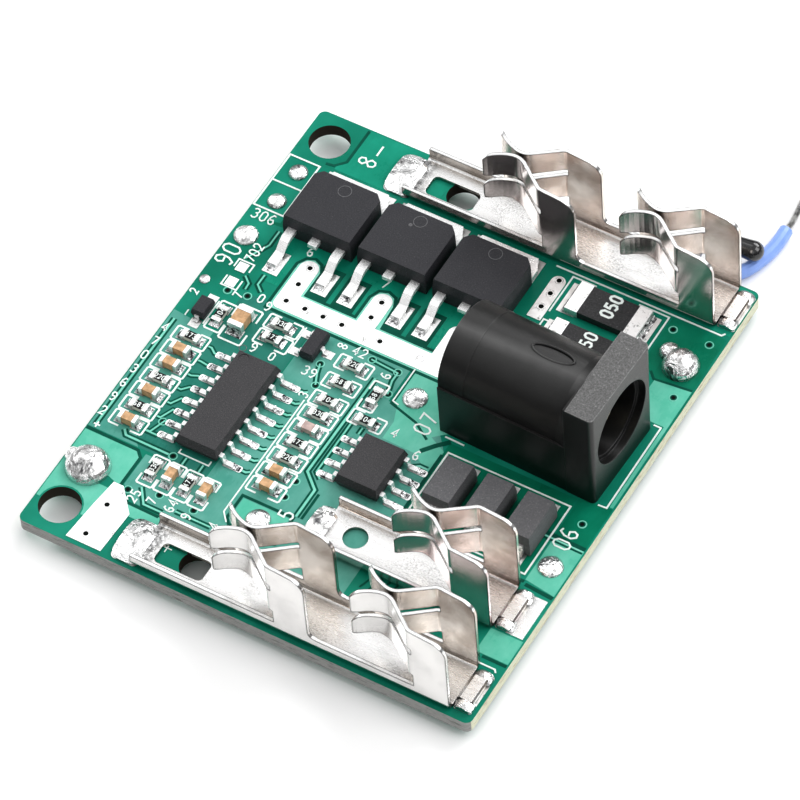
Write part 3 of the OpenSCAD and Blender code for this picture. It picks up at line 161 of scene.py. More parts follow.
def shaded(tree, colour, by):
    return mixed(tree, 1.0, colour, by, "MULTIPLY")


def bump(tree, shader, height, strength, distance_mm, edge_mm=0.0):
    """Relief, over edges that look rounded."""
    b = tree.nodes.new("ShaderNodeBump")
    b.inputs["Strength"].default_value = strength
    b.inputs["Distance"].default_value = distance_mm * MM
    tree.links.new(height, b.inputs["Height"])
    if edge_mm:
        rounded = tree.nodes.new("ShaderNodeBevel")
        rounded.samples = 4
        rounded.inputs["Radius"].default_value = edge_mm * MM
        tree.links.new(rounded.outputs["Normal"], b.inputs["Normal"])
    tree.links.new(b.outputs["Normal"], shader.inputs["Normal"])


def crevice_shade(tree, reach_mm, low, high):
    """Painted shade: dark where walls stand close, light in the open."""
    ao = tree.nodes.new("ShaderNodeAmbientOcclusion")
    ao.samples = 6
    ao.inputs["Distance"].default_value = reach_mm * MM
    return span(tree, ao.outputs["AO"], low, high)


def rim(tree, reach_mm, low):
    """A painted line along sharp edges: low there, 1 elsewhere; below 1 it is painted shade, above
    1 a painted highlight.
    """
    rounded = tree.nodes.new("ShaderNodeBevel")
    rounded.samples = 6
    rounded.inputs["Radius"].default_value = reach_mm * MM
    facing = tree.nodes.new("ShaderNodeNewGeometry")
    near = tree.nodes.new("ShaderNodeVectorMath")
    near.operation = "DOT_PRODUCT"
    tree.links.new(rounded.outputs["Normal"], near.inputs[0])
    tree.links.new(facing.outputs["Normal"], near.inputs[1])
    return span(tree, near.outputs["Value"], low, 1.0, 0.86, 0.992)


def axis_of(tree, vector, i):
    parts = tree.nodes.new("ShaderNodeSeparateXYZ")
    tree.links.new(vector, parts.inputs[0])
    return parts.outputs[i]


def normal_axis(tree, i):
    facing = tree.nodes.new("ShaderNodeNewGeometry")
    return math_node(tree, "ABSOLUTE", axis_of(tree, facing.outputs["True Normal"], i))


def surface(name, colour, dark, rough, metal=0.0, scale=1.5, rough_spread=0.08, bump_scale=8,
            bump_mm=0.01,
            coat=0.0, specular=0.5, shade_mm=0.0):
    """A finish whose colour, roughness and relief vary with noise, in features a millimetre, with
    painted shade where walls stand close if shade_mm is given.
    """
    m, tree, shader = new_material(name)
    at = coordinates(tree)
    patches = noise_at(tree, at, scale, 4)
    tone = ramp(tree, patches, [(0.35, dark), (0.65, colour)])
    if shade_mm:
        # painted shade where walls stand close
        tone = shaded(tree, tone, crevice_shade(tree, shade_mm, 0.1, 1.15))
    tree.links.new(tone, shader.inputs["Base Color"])
    fine = noise_at(tree, at, bump_scale, 3)
    both = total(tree, product(tree, patches, 0.6), product(tree, fine, 0.4))
    tree.links.new(span(tree, both, rough - rough_spread, rough + rough_spread, 0.3, 0.7),
                   shader.inputs["Roughness"])
    shader.inputs["Metallic"].default_value = metal
    shader.inputs["Specular IOR Level"].default_value = specular
    shader.inputs["Coat Weight"].default_value = coat
    shader.inputs["Coat Roughness"].default_value = 0.1
    if bump_mm:
        bump(tree, shader, fine, 1.0, bump_mm)
    return m


def laminate():
    """Green solder mask above and below, pale glass fibre on the cut edges, and painted shade on
    the hole walls.
    """
    m, tree, shader = new_material("solder_mask_on_laminate")
    at = coordinates(tree)
    cloud = noise_at(tree, at, 0.14, 3)
    green = ramp(tree, cloud, [(0.3, (0.003, 0.150, 0.095)), (0.5, (0.007, 0.205, 0.138)),
                               (0.72, (0.016, 0.275, 0.190))])
    edges = noise_at(tree, coordinates(tree, (0.8, 0.8, 10)), 1.0, 5, 0.65)
    front = ramp(tree, edges, [(0.35, (0.13, 0.14, 0.13)), (0.5, (0.36, 0.36, 0.35)),
                               (0.7, (0.22, 0.23, 0.22))])
    side = ramp(tree, edges, [(0.36, (0.30, 0.20, 0.12)), (0.44, (0.66, 0.66, 0.50)),
                              (0.7, (0.60, 0.64, 0.54))])
    fibre = mixed(tree, over(tree, normal_axis(tree, 0), 0.9), front, side)
    # painted shade: the walls of these holes are coloured near black
    for x, y, r in SHADED_HOLE_WALLS:
        gap_to = tree.nodes.new("ShaderNodeVectorMath")
        gap_to.operation = "DISTANCE"
        flat_at = tree.nodes.new("ShaderNodeVectorMath")
        flat_at.operation = "MULTIPLY"
        flat_at.inputs[1].default_value = (1, 1, 0)
        tree.links.new(at, flat_at.inputs[0])
        tree.links.new(flat_at.outputs[0], gap_to.inputs[0])
        gap_to.inputs[1].default_value = (x, y, 0)
        fibre = mixed(tree, math_node(tree, "LESS_THAN", gap_to.outputs["Value"], r), fibre,
                      (0.035, 0.030, 0.022))
    flat = over(tree, normal_axis(tree, 2), 0.5)
    tree.links.new(mixed(tree, flat, fibre, green), shader.inputs["Base Color"])
    tree.links.new(span(tree, flat, 0.75, 0.28), shader.inputs["Roughness"])
    shader.inputs["Specular IOR Level"].default_value = 0.14
    bump(tree, shader, noise_at(tree, at, 2.2, 2), 0.5, 0.02)
    return m


def mask(name, colour, light, rough=0.28, specular=0.17):
    """Solder mask over copper, or over bare laminate."""
    m, tree, shader = new_material(name)
    at = coordinates(tree)
    cloud = noise_at(tree, at, 0.35, 4)
    scuff = noise_at(tree, coordinates(tree, (1, 0.3, 1), (0, 0, 0.7)), 1.6, 5, 0.7)
    both = total(tree, product(tree, cloud, 0.75), product(tree, scuff, 0.25))
    tree.links.new(ramp(tree, both, [(0.32, colour), (0.66, light)]), shader.inputs["Base Color"])
    tree.links.new(span(tree, both, rough - 0.05, rough + 0.08, 0.3, 0.7),
                   shader.inputs["Roughness"])
    shader.inputs["Specular IOR Level"].default_value = specular
    bump(tree, shader, noise_at(tree, at, 2.6, 2), 0.5, 0.015)
    return m


def solder_finish(name, colour, dark, rough, lump, lump_mm, cut_at, edge_mm, shade_mm=0.8):
    """Bright solder with ripples, painted dark reflections in patches, and painted shade that
    darkens its foot.
    """
    m, tree, shader = new_material(name)
    at = coordinates(tree)
    ripples = noise_at(tree, at, lump, 4, 0.6, 0.9)
    dark_glint_noise = noise_at(tree, at, lump * 0.8, 6, 0.75, 0.5)
    # the dark patches of the colour are painted reflections
    tone = ramp(tree, dark_glint_noise, [(cut_at - 0.07, dark), (cut_at, tuple(0.5 * c for c in colour)),
                              (cut_at + 0.06, colour)])
    # painted shade at the foot, where walls stand close
    tone = shaded(tree, tone, crevice_shade(tree, shade_mm, 0.1, 1.1))
    tree.links.new(tone, shader.inputs["Base Color"])
    tree.links.new(span(tree, dark_glint_noise, rough + 0.3, rough, 0.35, 0.6), shader.inputs["Roughness"])
    shader.inputs["Metallic"].default_value = 1.0
    bump(tree, shader, ripples, 1.0, lump_mm, edge_mm)
    return m


def nickel(name, centre_y, near, tab_x):
    """Bright nickel sheet: far walls in a warm painted reflection, near walls in a painted
    reflection tone of their own, a white base with grey scuffs and painted shade near the walls, a
    white end tab, and rims painted white with a painted dark hair line along them."""
    m, tree, shader = new_material(name)
    at = coordinates(tree)
    up = normal_axis(tree, 2)
    along = noise_at(tree, coordinates(tree, (0.10, 0.5, 3.5)), 5, 3)
    scratches = noise_at(tree, coordinates(tree, (0.35, 6, 6), (0.0, 0.0, 0.4)), 5, 5, 0.7)
    cloud = noise_at(tree, at, 0.42, 2)
    grain = noise_at(tree, at, 7.0, 5, 0.8)
    # wall tones are painted reflections: warm on far walls, each clip's own painted tone on near
    # walls
    far = ramp(tree, cloud, [(0.34, (0.62, 0.55, 0.49)), (0.6, (0.88, 0.82, 0.76))])
    front = ramp(tree, cloud, [(0.34, tuple(0.86 * c for c in near)), (0.6, near)])
    walls = mixed(tree, over(tree, axis_of(tree, at, 1), centre_y), front, far)
    # painted shade on the base near walls and fingers, broken up by grain
    shade_grain = ramp(tree, grain, [(0.38, grey(1)), (0.60, grey(0.35))])
    base_shade = product(tree, crevice_shade(tree, 3.2, 1.3, 0.0), shade_grain)
    scuff = product(tree, ramp(tree, cloud, [(0.40, grey(0.6)), (0.55, grey(0))]),
                    ramp(tree, grain, [(0.42, grey(1)), (0.52, grey(0))]))
    base = mixed(tree, math_node(tree, "MAXIMUM", base_shade, scuff), (1.0, 0.99, 0.98),
                 (0.17, 0.165, 0.165))
    floor_part = over(tree, up, 0.8)
    colour = mixed(tree, floor_part, walls, base)
    tinned = span(tree, axis_of(tree, at, 0), 1.0, 0.0, *CLIP_TINNED_X)
    patch = ramp(tree, noise_at(tree, at, 2.4, 6, 0.8), [(0.38, grey(0.10)), (0.50, grey(0.45)),
                                                         (0.60, grey(0.95))])
    colour = mixed(tree, product(tree, tinned, floor_part), colour, patch)
    tab = product(tree, over(tree, axis_of(tree, at, 0), tab_x), floor_part)
    colour = mixed(tree, tab, colour, ramp(tree, grain, [(0.36, grey(0.55)), (0.44, grey(1.0))]))
    # a painted dark hair line along wall edges, then painted shade where walls stand close
    hair = mixed(tree, floor_part, rim(tree, 0.22, 0.03), grey(1))
    shade = shaded(tree, crevice_shade(tree, 2.2, 0.2, 1.12), hair)
    colour = shaded(tree, colour, shade)
    # rims painted white, with a painted dark hair line at their edges
    edge = product(tree, over(tree, up, 0.35), over(tree, axis_of(tree, at, 2), CLIP_RIM_Z))
    tree.links.new(mixed(tree, edge, colour, rim(tree, 0.16, 0.12)), shader.inputs["Base Color"])
    mix = total(tree, product(tree, along, 0.6), product(tree, scratches, 0.4))
    rough = total(tree, span(tree, mix, 0.13, 0.24, 0.35, 0.7), product(tree, floor_part, 0.10))
    tree.links.new(rough, shader.inputs["Roughness"])
    shader.inputs["Metallic"].default_value = 0.95
    bump(tree, shader, mix, 0.5, 0.008, 0.06)
    return m


def moulded(name, colour, grain, grain_mm, rough, speck):
    """Black moulding compound with pale specks and a matt grain."""
    m, tree, shader = new_material(name)
    at = coordinates(tree)
    fine = noise_at(tree, at, grain, 5, 0.8)
    wide = noise_at(tree, at, 0.6, 3)
    lit = tuple(c + speck * 0.12 for c in colour)
    tone = ramp(tree, fine, [(0.40, colour), (0.62, lit),
                             (0.70, tuple(3.0 * c + 0.02 for c in lit))])
    tree.links.new(tone, shader.inputs["Base Color"])
    tree.links.new(span(tree, wide, rough - 0.07, rough + 0.07, 0.3, 0.7),
                   shader.inputs["Roughness"])
    shader.inputs["Specular IOR Level"].default_value = 0.3
    bump(tree, shader, fine, 0.7, grain_mm, 0.05)
    return m


def jack_plastic():
    """Satin black barrel with a painted sheen along its top, painted shade on its sides and in its
    mouth, painted highlights on its edges, and a sandy front flange.
    """
    m, tree, shader = new_material("jack_plastic")
    at = coordinates(tree)
    sand = noise_at(tree, at, 7.0, 5, 0.8)
    flange = product(tree, over(tree, axis_of(tree, at, 0), FLANGE_X),
                     over(tree, axis_of(tree, at, 2), FLANGE_Z))
    soft = noise_at(tree, at, 0.5, 3, 0.5)
    # painted sheen: lighter near CROWN_Y, darker away from it; faces that don't face up are painted
    # dark
    sheen_distance = math_node(tree, "ABSOLUTE", math_node(tree, "SUBTRACT", axis_of(tree, at, 1), CROWN_Y))
    sheen_distance = total(tree, product(tree, sheen_distance, 0.2), product(tree, soft, 0.16))
    barrel = ramp(tree, sheen_distance, [(0.08, grey(0.070)), (0.24, grey(0.030)), (0.50, grey(0.013)),
                              (0.95, grey(0.008))])
    barrel = mixed(tree, over(tree, normal_axis(tree, 2), 0.15), grey(0.009), barrel)
    sandy = ramp(tree, sand, [(0.38, grey(0.065)), (0.62, grey(0.14)), (0.70, grey(0.40))])
    # painted shade in the barrel's mouth and near the board
    tone = shaded(tree, mixed(tree, flange, barrel, sandy), crevice_shade(tree, 5.0, 0.0, 1.15))
    # painted highlight along sharp edges
    tree.links.new(shaded(tree, tone, rim(tree, 0.16, 2.0)), shader.inputs["Base Color"])
    tree.links.new(span(tree, flange, 0.30, 0.62), shader.inputs["Roughness"])
    shader.inputs["Specular IOR Level"].default_value = 0.42
    bump(tree, shader, sand, 0.6, 0.02, 0.12)
    return m


M = {
    "laminate": laminate(),
    "pour": mask("mask_over_copper", (0.085, 0.43, 0.31), (0.17, 0.54, 0.42)),
    "pale": mask("mask_over_hatching", (0.060, 0.275, 0.22), (0.13, 0.37, 0.31)),
    "field": mask("mask_over_field", (0.003, 0.21, 0.135), (0.010, 0.28, 0.19)),
    "muted": mask("mask_over_ground", (0.016, 0.160, 0.122), (0.036, 0.220, 0.172)),
    "track": mask("mask_over_track", (0.14, 0.50, 0.38), (0.26, 0.66, 0.54)),
    "gap": mask("mask_over_laminate", (0.001, 0.060, 0.040), (0.004, 0.100, 0.068), 0.35, 0.1),
    "bare": mask("mask_over_bare_field", (0.001, 0.140, 0.080), (0.004, 0.200, 0.120), 0.3, 0.12),
    "silk": surface("printed_outline", (0.86, 0.90, 0.88), (0.74, 0.82, 0.79), 0.55, scale=3,
                    bump_mm=0.006),
    "tin": solder_finish("tinned_copper", (0.95, 0.95, 0.94), (0.30, 0.30, 0.30), 0.3, 1.6, 0.04,
                         0.34, 0.0, 1.5),
    # the last colour is each clip's painted near-wall reflection tone
    "positive_terminal_clip": nickel("nickel_sheet", -20.75, (0.86, 0.845, 0.83), CLIP_TAB_X),
    "signal_terminal_clip": nickel("nickel_sheet_2", -12.75, (0.78, 0.68, 0.67), SHORT_TAB_X),
    "negative_terminal_clip": nickel("nickel_sheet_3", 20.95, (0.66, 0.60, 0.58), CLIP_TAB_X),
    "solder": solder_finish("solder", (0.88, 0.88, 0.88), (0.10, 0.10, 0.105), 0.12, 0.7, 0.30,
                            0.42, 0.0, 1.8),
    "solder_small": solder_finish("solder_fillets", (0.90, 0.90, 0.91), (0.03, 0.03, 0.035), 0.16,
                                  2.4, 0.14, 0.48, 0.0, 0.7),
    "lead": surface("tinned_leads", (0.96, 0.96, 0.96), (0.80, 0.80, 0.80), 0.26, 0.65, 2.0, 0.08,
                    6, 0.008, shade_mm=0.6),
    "caps": solder_finish("end_cap_metal", (0.93, 0.93, 0.92), (0.45, 0.45, 0.45), 0.34, 2.6, 0.03,
                          0.38, 0.05),
    "mould": moulded("moulding_compound", (0.026, 0.026, 0.031), 9, 0.03, 0.5, 0.16),
    "mould_chip": moulded("chip_compound", (0.036, 0.035, 0.038), 11, 0.03, 0.55, 0.3),
    "mould_grey": moulded("diode_compound", (0.100, 0.100, 0.106), 9, 0.03, 0.5, 0.4),
    "shunt": moulded("shunt_coating", (0.026, 0.026, 0.028), 7, 0.02, 0.42, 0.2),
    "jack": jack_plastic(),
    "brass": surface("plated_pin", (0.80, 0.74, 0.58), (0.62, 0.55, 0.40), 0.25, 1.0),
    "alumina": surface("white_ceramic", (0.80, 0.79, 0.75), (0.68, 0.67, 0.63), 0.55, bump_scale=9,
                       bump_mm=0.01),
    "glaze": surface("black_glaze", (0.008, 0.008, 0.009), (0.014, 0.014, 0.015), 0.35, scale=4,
                     bump_mm=0.006, specular=0.3),
    "tan": surface("tan_ceramic", (0.66, 0.42, 0.24), (0.42, 0.26, 0.14), 0.42, scale=2.4,
                   bump_mm=0.012, specular=0.3),
    "ferrite": surface("pink_ceramic", (0.62, 0.47, 0.43), (0.40, 0.30, 0.28), 0.5, scale=2.4,
                       bump_mm=0.012),
    "epoxy": surface("dipped_epoxy", (0.010, 0.010, 0.012), (0.020, 0.020, 0.022), 0.16, scale=0.9,
                     coat=0.6, bump_mm=0.0),
    "wire": surface("tinned_wire", (0.50, 0.50, 0.49), (0.16, 0.16, 0.16), 0.32, 1.0, 1.5, 0.1, 6,
                    0.02),
    "sleeve": surface("blue_sleeve", (0.26, 0.40, 0.83), (0.22, 0.35, 0.76), 0.36, scale=0.9,
                      coat=0.2, bump_mm=0.01),
    "dark": surface("hole_shadow", (0.004, 0.006, 0.005), (0.008, 0.010, 0.009), 0.8, bump_mm=0.0,
                    specular=0.1),
}

FINISH = {
    "circuit_board": "laminate", "tinned_pads": "tin", "clip_solder": "solder",
    "jack_pin_solder": "solder", "component_solder": "solder_small",
    "battery_plus_joint": "solder", "battery_minus_joint": "solder", "cell_tap_joints": "solder",
    "thermistor_joints": "solder", "jack_housing": "jack", "jack_center_pin": "brass",
    "jack_sleeve_spring": "lead", "jack_switch_contact": "lead", "control_chip_body": "mould_chip",
    "switch_chip_body": "mould_chip", "small_transistor_body": "mould",
    "small_diode_body": "mould", "shunt_resistor_body_1": "shunt",
    "shunt_resistor_body_2": "shunt", "shunt_resistor_caps": "caps",
    "chip_resistor_bodies": "alumina", "chip_resistor_glaze": "glaze",
    "chip_resistor_caps": "caps", "chip_capacitor_bodies": "tan", "chip_capacitor_caps": "caps",
    "large_capacitor_body": "tan", "large_capacitor_caps": "caps", "ferrite_chip_body": "ferrite",
    "ferrite_chip_caps": "caps", "thermistor_bead": "epoxy", "thermistor_leads": "wire",
    "thermistor_sleeve": "sleeve", "power_diode_leads": "lead",
}
for name, o in nodes.items():
    if name in FINISH:
        finish = FINISH[name]
    elif "terminal_clip" in name:
        finish = name
    elif name.startswith("mosfet_body"):
        finish = "mould"
    elif name.startswith("power_diode_body"):
        finish = "mould_grey"
    else:
        finish = "lead"
    for s in o.material_slots:
        s.material = M[finish]


# ------------------------------------------------ thin layers on the board

class Layer:
    """Collects prisms and strips, in millimetres, and makes one mesh of them."""

    def __init__(self, name, finish, slot):
        self.name, self.finish, self.slot = name, finish, slot
        self.points, self.faces, self.items = [], [], 0

    def above(self, z1):
        """A hair higher for each item, so that no two faces share a plane."""
        self.items += 1
        return z1 + 0.0001 * self.items

    def prism(self, outline, z0, z1):
        n, start = len(outline), len(self.points)
        for z in (z0, self.above(z1)):
            self.points += [(x, y, z) for x, y in outline]
        self.faces.append([start + i for i in reversed(range(n))])
        self.faces.append([start + n + i for i in range(n)])
        for i in range(n):
            j = (i + 1) % n
            self.faces.append([start + i, start + j, start + n + j, start + n + i])

    def strip(self, path, width, z0, z1, closed=False, draft=0.0):
        """A ribbon along a path, with mitred corners."""
        z1 = self.above(z1)
        n, start = len(path), len(self.points)
        for i, (x, y) in enumerate(path):
            a = path[i - 1] if (i or closed) else None
            b = path[(i + 1) % n] if (i < n - 1 or closed) else None
            d1 = Vector((x - a[0], y - a[1])).normalized() if a else None
            d2 = Vector((b[0] - x, b[1] - y)).normalized() if b else None
            d1, d2 = d1 or d2, d2 or d1
            n1 = Vector((-d1.y, d1.x))
            n2 = Vector((-d2.y, d2.x))
            m = (n1 + n2).normalized()
            k = 1 / max(m.dot(n1), 0.45)
            low, high = width / 2 * k, (width / 2 - draft) * k
            for w, z in ((low, z0), (-low, z0), (-high, z1), (high, z1)):
                self.points.append((x + w * m.x, y + w * m.y, z))
        last = n if closed else n - 1
        for i in range(last):
            a, b = start + 4 * i, start + 4 * ((i + 1) % n)
            for k in range(4):
                j = (k + 1) % 4
                self.faces.append([a + k, a + j, b + j, b + k])
        if not closed:
            e = start + 4 * (n - 1)
            self.faces.append([start + 3, start + 2, start + 1, start])
            self.faces.append([e, e + 1, e + 2, e + 3])

    def make(self):
        mesh = bpy.data.meshes.new(self.name)
        mesh.from_pydata([(x * MM, y * MM, z * MM) for x, y, z in self.points], [], self.faces)
        mesh.validate()
        mesh.update()
        o = bpy.data.objects.new(self.name, mesh)
        scene.collection.objects.link(o)
        mesh.materials.append(M[self.finish])
        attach(o, "root")
        return o


def disc(x, y, r, n):
    return [(x + r * math.cos(2 * math.pi * i / n),
             y + r * math.sin(2 * math.pi * i / n)) for i in range(n)]


def rect(x0, y0, x1, y1):
    return [(x0, y0), (x1, y0), (x1, y1), (x0, y1)]


bare = Layer("mask_bare", "bare", "laminate")
muted = Layer("mask_muted", "muted", "laminate")
field = Layer("mask_fields", "field", "laminate")
pale = Layer("mask_pale", "pale", "laminate")
pour = Layer("mask_pours", "pour", "laminate")
gap = Layer("mask_gaps", "gap", "laminate")
track = Layer("mask_tracks", "track", "laminate")
silk = Layer("printed_outlines", "silk", "laminate")
holes = Layer("via_mouths", "dark", "laminate")

# from the lowest layer to the highest, each a few hundredths of a millimetre thick
TONES, TONE_STEP = (bare, muted, field, pale, pour), 0.004
GAP_Z = (TOP, TOP + 0.024)
GAP_DISC_Z = (TOP, TOP + 0.028)
LOW_TRACK_Z = (TOP, TOP + 0.03)
MOUTH_Z = (TOP, TOP + 0.032)
PAD_Z = (TOP, TOP + 0.035)
TRACK_Z = (TOP, TOP + 0.036)
RING_Z = (TOP, TOP + 0.042)
SILK_Z = (TOP, TOP + 0.05)


def zone(layer, outline):
    """A field of one tone."""
    layer.prism(outline, TOP, TOP + TONE_STEP * (1 + TONES.index(layer)))


def dark(path, width=0.3, closed=False):
    """A line without copper under the mask."""
    gap.strip(path, width, *GAP_Z, closed=closed)


def run(path, width=0.25, clearance=0.16):
    """A masked track with a dark line on each side."""
    dark(path, width + 2 * clearance)
    track.strip(path, width, *TRACK_Z, draft=0.03)


def line(path, width=0.15, closed=False):
    """A printed white line."""
    silk.strip(path, width, *SILK_Z, closed=closed)


def chip_box(x, y, turn, l, w):
    """Two brackets round a two-ended chip, open at the middle of its long sides."""
    c, s = math.cos(math.radians(turn)), math.sin(math.radians(turn))
    for side in (-1, 1):
        inner, outer, end = side * l * 0.18, side * (l / 2 - 0.1), side * l / 2
        pts = [(inner, w / 2), (outer, w / 2), (end, w / 2 - 0.12), (end, -w / 2 + 0.12),
               (outer, -w / 2), (inner, -w / 2)]
        line([(x + c * a - s * b, y + s * a + c * b) for a, b in pts], 0.16)


# ------------------------------------------------ components, as the source places them

ROWS = [ROW_Y - i * ROW_PITCH for i in range(7)]
PINS = [CHIP_Y + (3.5 - i) * PIN_PITCH for i in range(8)]
# x, y, turn
RESISTORS = [
    (-17.65, ROWS[0], 0), (-17.65, ROWS[3], 0), (-17.65, ROWS[5], 0), (-16.72, 1.1, 90),
    (-11.78, 2.5, 0), (-11.78, 1, 0), (-4.6, 1.7, 0), (-4.6, -0.28, 0), (-4.6, -2.28, 0),
    (-4.6, -3.8, 0), (-4.6, -7, 0), (-4.6, -8.65, 0), (-1.58, -0.15, 90), (-1, -2.55, 0),
    (-13.4, -14.45, 90), (-10.2, -14.45, 90),
]
for y in ROWS:
    chip_box(-17.68, y, 0, 3.05, 1.42)
for y in (1.79, -0.24, -2.25, -3.87, -5.44, -7.01, -8.6, -10.23, -11.82):
    chip_box(-4.63, y, 0, 3.05, 1.42)
for x in (-13.4, -11.84, -10.28, -8.7):
    chip_box(x, -14.56, 90, 2.98, 1.42)
chip_box(-11.7, 2.6, 0, 3.05, 1.43)
chip_box(-11.7, 0.94, 0, 3.05, 1.48)
chip_box(-16.7, 1.08, 90, 3.0, 1.42)
chip_box(-14.85, 1.13, 90, 3.75, 2.05)
chip_box(-1.77, -0.06, 90, 2.98, 1.38)
chip_box(-0.98, -2.38, 0, 3.0, 1.38)
line([(-18.43, 6.0), (-18.43, 6.85), (-17.0, 6.85), (-17.0, 6.0)], 0.13)
line([(-18.43, 5.0), (-18.43, 3.97), (-17.0, 3.97), (-17.0, 5.0)], 0.13)


# ------------------------------------------------ plain figures, drawn as strokes

STROKES = {
    "0": [[(0.1, 0.3), (0.1, 1.3), (0.35, 1.6), (0.65, 1.6), (0.9, 1.3), (0.9, 0.3), (0.65, 0),
           (0.35, 0), (0.1, 0.3)]],
    "1": [[(0.25, 1.25), (0.55, 1.6), (0.55, 0)]],
    "2": [[(0.1, 1.25), (0.3, 1.6), (0.7, 1.6), (0.9, 1.25), (0.8, 0.85), (0.1, 0), (0.9, 0)]],
    "3": [[(0.1, 1.4), (0.35, 1.6), (0.7, 1.6), (0.9, 1.3), (0.75, 0.9), (0.45, 0.85)],
          [(0.75, 0.9), (0.92, 0.5), (0.75, 0.1), (0.4, 0), (0.1, 0.2)]],
    "4": [[(0.7, 0), (0.7, 1.6), (0.1, 0.5), (0.95, 0.5)]],
    "5": [[(0.85, 1.6), (0.2, 1.6), (0.15, 0.9), (0.6, 0.95), (0.9, 0.65), (0.85, 0.2), (0.5, 0),
           (0.1, 0.15)]],
    "6": [[(0.8, 1.5), (0.45, 1.6), (0.15, 1.1), (0.1, 0.4), (0.4, 0), (0.75, 0.05), (0.9, 0.4),
           (0.7, 0.8), (0.15, 0.7)]],
    "7": [[(0.1, 1.6), (0.9, 1.6), (0.4, 0)]],
    "8": [[(0.5, 0.85), (0.15, 1.15), (0.25, 1.5), (0.5, 1.6), (0.75, 1.5), (0.85, 1.15),
           (0.5, 0.85)],
          [(0.5, 0.85), (0.88, 0.5), (0.75, 0.1), (0.5, 0), (0.25, 0.1), (0.12, 0.5), (0.5, 0.85)]],
    "9": [[(0.2, 0.1), (0.55, 0), (0.85, 0.5), (0.9, 1.2), (0.6, 1.6), (0.25, 1.55), (0.1, 1.2),
           (0.3, 0.8), (0.85, 0.9)]],
    "+": [[(0.05, 0.8), (0.95, 0.8)], [(0.5, 0.35), (0.5, 1.25)]],
    "-": [[(0.1, 0.8), (0.9, 0.8)]],
}


def figures(text, x, y, size, turn=0.0, width=0.14, layer=None, z=None):
    """Plain figures whose left end stands at that place, a cell of size millimetres high."""
    layer, z = layer or silk, z or SILK_Z
    c, s, k = math.cos(math.radians(turn)), math.sin(math.radians(turn)), size / 1.6
    for i, ch in enumerate(text):
        for stroke in STROKES[ch]:
            pts = [((a + 1.3 * i) * k, b * k) for a, b in stroke]
            pts = [(x + c * a - s * b, y + s * a + c * b) for a, b in pts]
            if pts[0] == pts[-1]:
                layer.strip(pts[:-1], width, *z, closed=True)
            else:
                layer.strip(pts, width, *z)


def on_top(node, below, above):
    """The heights of a mark that starts in a node's top face and stands a little out of it."""
    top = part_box(node)[1].z / MM
    return top - below, top + above


marks = Layer("resistor_marks", "silk", "resistor_ceramic")
glaze_z = on_top("chip_resistor_glaze", 0.004, 0.006)
for i, (x, y, turn) in enumerate(RESISTORS):
    text = ("473", "220", "681", "104", "330")[i % 5]
    c, s = math.cos(math.radians(turn)), math.sin(math.radians(turn))
    a, b = -0.46, -0.21  # from the chip's centre to its first figure's foot
    figures(text, x + c * a - s * b, y + s * a + c * b, 0.42, turn, 0.07, marks, glaze_z)
shunt_z = on_top("shunt_resistor_body_1", 0.004, 0.008)
for y, width in ((15.1, 0.22), (10.9, 0.2)):
    figures("050", 11.35, y, 1.0, 90, width, marks, shunt_z)
marks.make()
moulds = Layer("mould_circles", "mould_grey", "mould_compound")
for x, y in ((-13.35, 15.35), (-6.35, 15.5), (0.65, 15.5)):
    moulds.strip(disc(x, y, 0.56, 28), 0.07, *on_top("mosfet_body_1", 0.01, 0.012), closed=True)
moulds.strip(disc(-6.9, 14.85, 0.1, 12), 0.14, *on_top("mosfet_body_1", 0.01, 0.014), closed=True)
moulds.strip(disc(-12.75, -1.75, 0.3, 20), 0.06, *on_top("control_chip_body", 0.01, 0.012),
             closed=True)
moulds.make()


def barrel_oval(length, width, thick):
    """A plain raised oval that follows the top of the jack's barrel."""
    layer = Layer("jack_oval", "jack", "jack_plastic")
    n, k = 48, 8
    for i in range(n):
        t = 2 * math.pi * i / n
        for j in range(k):
            u = 2 * math.pi * j / k
            out = thick * math.cos(u)
            x, y = (length + out) * math.cos(t), (width + out) * math.sin(t)
            z = math.sqrt(BARREL_R ** 2 - y * y) + thick * math.sin(u)
            layer.points.append((OVAL_X + x, BARREL_Y + y, BARREL_Z + z))
            a, b = i * k, (i + 1) % n * k
            layer.faces.append([a + j, b + j, b + (j + 1) % k, a + (j + 1) % k])
    for f in layer.make().data.polygons:
        f.use_smooth = True


barrel_oval(1.85, 0.62, 0.11)

# ------------------------------------------------ printed outlines of the larger parts

line([(-20.37, 12.29), (-17.55, 12.29), (-17.55, 18.15), (-20.37, 18.15)], 0.15, True)
line([(-20.37, 15.24), (-17.55, 15.24)], 0.15)
line([(6.35, 14.0), (6.35, 17.95), (8.5, 17.95)], 0.14)
line([(12.4, 17.95), (15.15, 17.95), (15.15, 9.6), (6.35, 9.6), (6.35, 13.1), (8.2, 13.1)], 0.14)
line([(6.25, -2.0), (17.3, -2.0), (17.3, -9.3), (6.25, -9.3)], 0.15, True)
line([(19.1, -0.85), (19.85, -0.8), (19.85, 8.0), (19.2, 8.0)], 0.14)
line([(5.25, -0.75), (7.0, -0.8)], 0.14)
line([(-12.58, -11.65), (-12.58, -12.05), (-9.82, -12.05), (-9.82, -11.6)], 0.12)
line([(-6.45, -2.9), (-6.45, -15.25), (-5.75, -16.05)], 0.12)
line([(4.6, 18.3), (19.7, 18.3), (19.9, 18.6)], 0.15)
line([(-17.6, 2.4), (-17.6, -0.2)], 0.12)
line([(-19.35, 0.5), (-19.35, -0.1)], 0.12)
line([(-10.0, 3.4), (-10.0, 0.5)], 0.12)
line([(-0.2, 3.9), (-0.2, 0.35), (0.4, 0.2)], 0.12)
